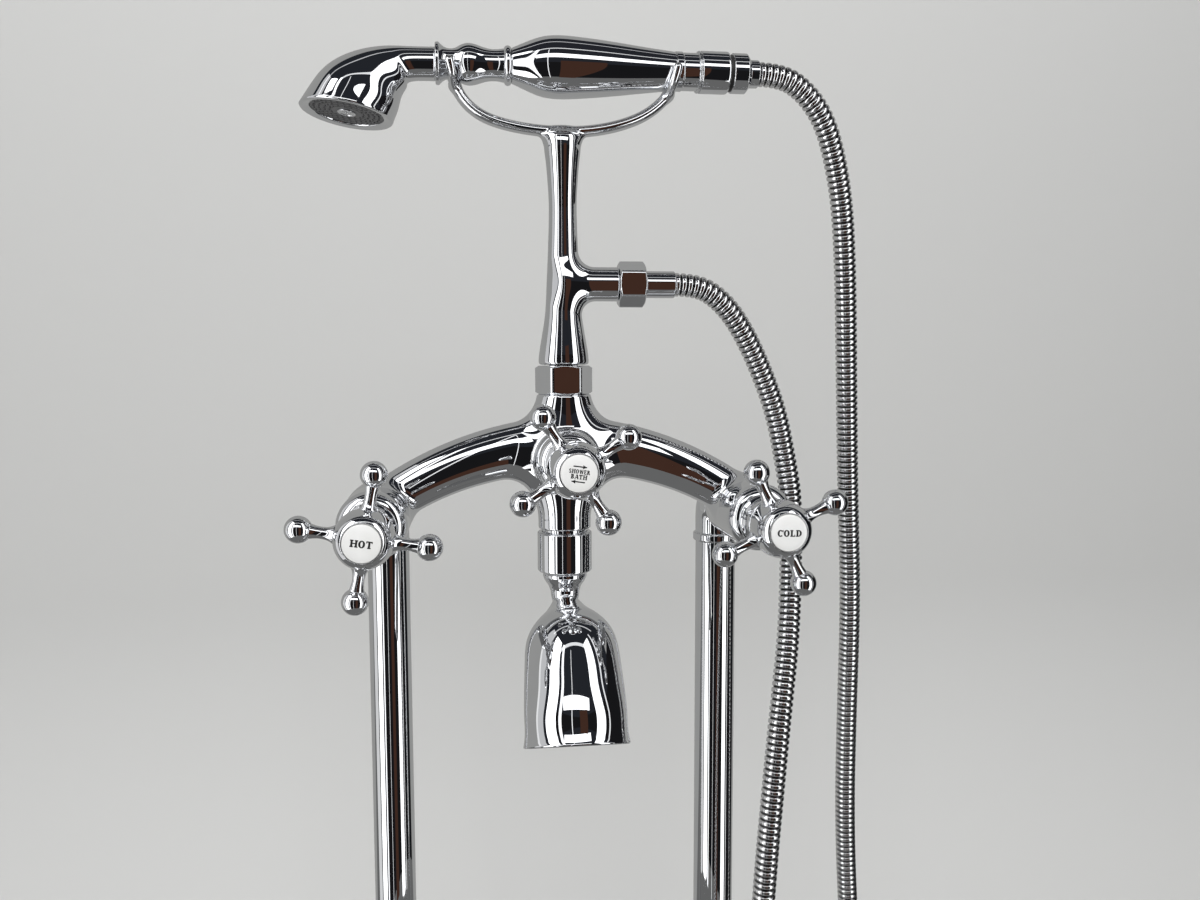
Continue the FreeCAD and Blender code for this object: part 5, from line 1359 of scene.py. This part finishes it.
@dataclass
class Studio:
    """Pale sweep, soft lights, cards for the chrome to reflect, and the camera.

    Directions round the filler are degrees from straight towards the bather, positive to the right.
    """

    camera_at: tuple[float, float, float] = (-0.0552, -0.6614, 0.8911)
    yaw: float = 7.38
    pitch: float = -5.17
    roll: float = -0.15
    lens: float = 30.0
    floor_front: float = -2.4
    bend_start: float = 0.5
    wall_at: float = 1.0
    wall_top: float = 4.0
    half_width: float = 7.0

    def stage_mesh(self, name: str, points: Array, faces: Sequence[Sequence[int]]) -> bpy.types.Object:
        """Adds a mesh that belongs to the studio and not to the object."""
        mesh = bpy.data.meshes.new(name)
        mesh.from_pydata(np.asarray(points).tolist(), [], faces)
        mesh.shade_smooth()
        obj = placed(name, mesh)
        return obj

    def bent_paper(self, name: str, gap: float = 0.0, part: slice = slice(None)) -> bpy.types.Object:
        """A sheet that lies on the floor and curves up behind the filler.

        Args:
            name: Its name.
            gap: Its distance from the studio's own sheet.
            part: The rows of its profile that it has: the first two are the floor's.

        Returns:
            Its object.
        """
        a = np.linspace(0, math.pi / 2, 16)
        full = self.wall_at - self.bend_start
        bend = np.column_stack([self.bend_start + (full - gap) * np.sin(a), full - (full - gap) * np.cos(a)])
        profile = np.concatenate([[(self.floor_front, gap)], bend, [(self.wall_at - gap, self.wall_top)]])[part]
        points = [(x, y, z) for y, z in profile for x in (-self.half_width, self.half_width)]
        faces = [(2 * i, 2 * i + 1, 2 * i + 3, 2 * i + 2) for i in range(len(profile) - 1)]
        return self.stage_mesh(name, points, faces)

    def sweep(self) -> None:
        """Floor that curves up into a plain wall behind the filler, seen from its upper side only."""
        obj = self.bent_paper("studio_sweep")
        plain = bpy.data.materials.new("studio_paper")
        plain.use_nodes = True
        tree = plain.node_tree
        shader = tune(tree.nodes["Principled BSDF"], Base_Color=(0.60, 0.60, 0.59), Roughness=0.9)
        side, clear = (tree.nodes.new(kind) for kind in ("ShaderNodeNewGeometry", "ShaderNodeBsdfTransparent"))
        chosen(tree, side.outputs["Backfacing"], shader, clear, "Material Output")
        obj.data.materials.append(plain)

    def card(self, name: str, start: float, end: float, low: float, high: float, reach: float,
             tone: tuple[float, float, float]) -> None:
        """An upright curved card round the filler, which only reflections see.

        Args:
            name: Its name.
            start: Direction of its left edge.
            end: Direction of its right edge.
            low: Height of its lower edge.
            high: Height of its upper edge.
            reach: Its distance.
            tone: The light that it gives off.
        """
        a = np.radians(np.linspace(start, end, 13))
        points = [(reach * math.sin(t), -reach * math.cos(t), z) for z in (low, high) for t in a]
        count = len(a)
        faces = [(i, i + 1, count + i + 1, count + i) for i in range(count - 1)]
        self.reflected_only(self.stage_mesh(name, points, faces), tone)

    def reflected_only(self, obj: bpy.types.Object, tone: tuple[float, float, float]) -> None:
        """Gives a stage object a plain glow that only reflections see."""
        glow = bpy.data.materials.new(obj.name)
        glow.use_nodes = True
        tune(glow.node_tree.nodes["Principled BSDF"], Base_Color=(0.0, 0.0, 0.0), Specular_IOR_Level=0.0,
             Emission_Color=tone, Emission_Strength=1.0)
        obj.data.materials.append(glow)
        obj.visible_camera = obj.visible_diffuse = obj.visible_shadow = False

    def lamp(self, name: str, place: Sequence[float], aim: Sequence[float], size: tuple[float, float],
             watts: float, seen: bool = True) -> None:
        """A rectangular soft light that looks at a point.

        Args:
            name: Its name.
            place: Where it stands.
            aim: The point that it looks at.
            size: Its width and height.
            watts: Its power.
            seen: Whether it is for reflections alone, or else for everything but them.
        """
        data = bpy.data.lights.new(name, "AREA")
        data.shape = "RECTANGLE"
        data.size, data.size_y = size
        data.energy = watts
        obj = placed(name, data)
        back = unit(np.asarray(place, float) - np.asarray(aim, float))
        side = unit(np.cross(UP, back))
        obj.matrix_world = facing(side, np.cross(back, side), back, place)
        obj.visible_camera = False
        obj.visible_glossy, obj.visible_diffuse = seen, not seen

    def pane(self, name: str, start: float, end: float, glow: float) -> None:
        """A tall soft light from the floor up, between two directions, as bright as ``glow``."""
        middle, half = math.radians((start + end) / 2), math.radians((end - start) / 2)
        reach, tall = 0.9, 2.1
        wide = 2 * reach * math.sin(half)
        place = (reach * math.sin(middle), -reach * math.cos(middle), tall / 2)
        self.lamp(name, place, (0, 0, tall / 2), (wide, tall), glow * wide * tall * math.pi)

    def world(self) -> None:
        """Air that is pale to look at and dim as a light, and plain display colours."""
        world = bpy.data.worlds.new("studio_air")
        bpy.context.scene.world = world
        world.use_nodes = True
        tree = world.node_tree
        dim = tune(tree.nodes["Background"], Color=(0.020, 0.022, 0.027))
        pale, path = (tree.nodes.new(kind) for kind in ("ShaderNodeBackground", "ShaderNodeLightPath"))
        tune(pale, Color=(0.56, 0.56, 0.55))
        chosen(tree, path.outputs["Is Camera Ray"], dim, pale, "World Output")
        bpy.context.scene.view_settings.view_transform = "Standard"

    def camera(self) -> None:
        """The photograph's viewpoint."""
        yaw, pitch, roll = (math.radians(v) for v in (self.yaw, self.pitch, self.roll))
        ahead = np.array([math.sin(yaw) * math.cos(pitch), math.cos(yaw) * math.cos(pitch), math.sin(pitch)])
        right = np.array([math.cos(yaw), -math.sin(yaw), 0.0])
        up = np.cross(right, ahead)
        side = right * math.cos(roll) + up * math.sin(roll)
        top = -right * math.sin(roll) + up * math.cos(roll)
        data = bpy.data.cameras.new("camera")
        data.lens, data.sensor_width = self.lens, 36.0
        data.clip_start = 0.01
        obj = placed("camera", data)
        obj.matrix_world = facing(side, top, -ahead, self.camera_at)
        bpy.context.scene.camera = obj

    def build(self) -> None:
        """Sets the whole studio up."""
        self.sweep()
        self.world()
        self.camera()
        mixer = (0.0, -0.05, 0.8)
        self.lamp("fill_above", (0.0, -0.6, 3.6), (0, 0, 0), (3.0, 3.0), 90, seen=False)
        self.lamp("fill_front", (-0.4, -3.4, 2.6), (0, 0.6, 0.8), (2.4, 2.0), 108, seen=False)
        for name, start, end, glow in (("left_pane_1", -95, -75, 0.6), ("left_pane_2", -69, -47, 2.5),
                                       ("left_pane_3", -41, -35, 1.5), ("front_slit", -14, -12.5, 1.2),
                                       ("right_pane", 38, 58, 1.9), ("right_slit", 66, 69, 1.0)):
            self.pane(name, start, end, glow)
        self.lamp("front_high", (-0.1, -1.5, 1.85), mixer, (1.9, 0.42), 5)
        self.lamp("roof_slit_1", (0.0, -0.75, 2.1), mixer, (2.4, 0.07), 0.5)
        self.lamp("roof_slit_2", (0.0, -0.1, 2.3), mixer, (2.4, 0.06), 0.3)
        self.reflected_only(self.bent_paper("floor_tone", 0.004, slice(2)), (0.15, 0.15, 0.148))
        self.reflected_only(self.bent_paper("wall_tone", 0.004, slice(1, None)), (0.34, 0.34, 0.33))
        self.card("dark_screen", -60, 118, 0.0, 1.12, 1.0, (0.010, 0.010, 0.011))
        self.card("warm_screen", 3, 19, 0.0, 1.2, 0.95, (0.060, 0.028, 0.019))


def main() -> None:
    """Builds every sub-assembly in order."""
    logging.basicConfig(level=logging.INFO, format="%(message)s")
    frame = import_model()
    dress_frame(frame)
    Studio().build()
    Hose().build()
    Standpipes().build()
    MixerBody().build()
    for handle in (
        CrossHandle("hot", Body.HOT, -HALF_SPACING, 0.0, 44.0, -9.5, (("HOT", 0.0, 3.7, 0.98),)),
        CrossHandle("cold", Body.COLD, HALF_SPACING, 0.0, 44.0, 23.8, (("COLD", 0.0, 3.5, 0.96),), -1.5),
        CrossHandle("diverter", Body.DIVERTER, 0.0, 32.4, 36.0, 31.6, (
            ("^", 3.7, 2.2, 1.0), ("SHOWER", 1.15, 2.2, 0.80), ("BATH", -1.6, 2.4, 0.86), ("v", -4.2, 2.2, 1.0))),
    ):
        handle.build()
    Riser().build()
    Handset().build()
    Spout().build()


if __name__ == "__main__":
    main()
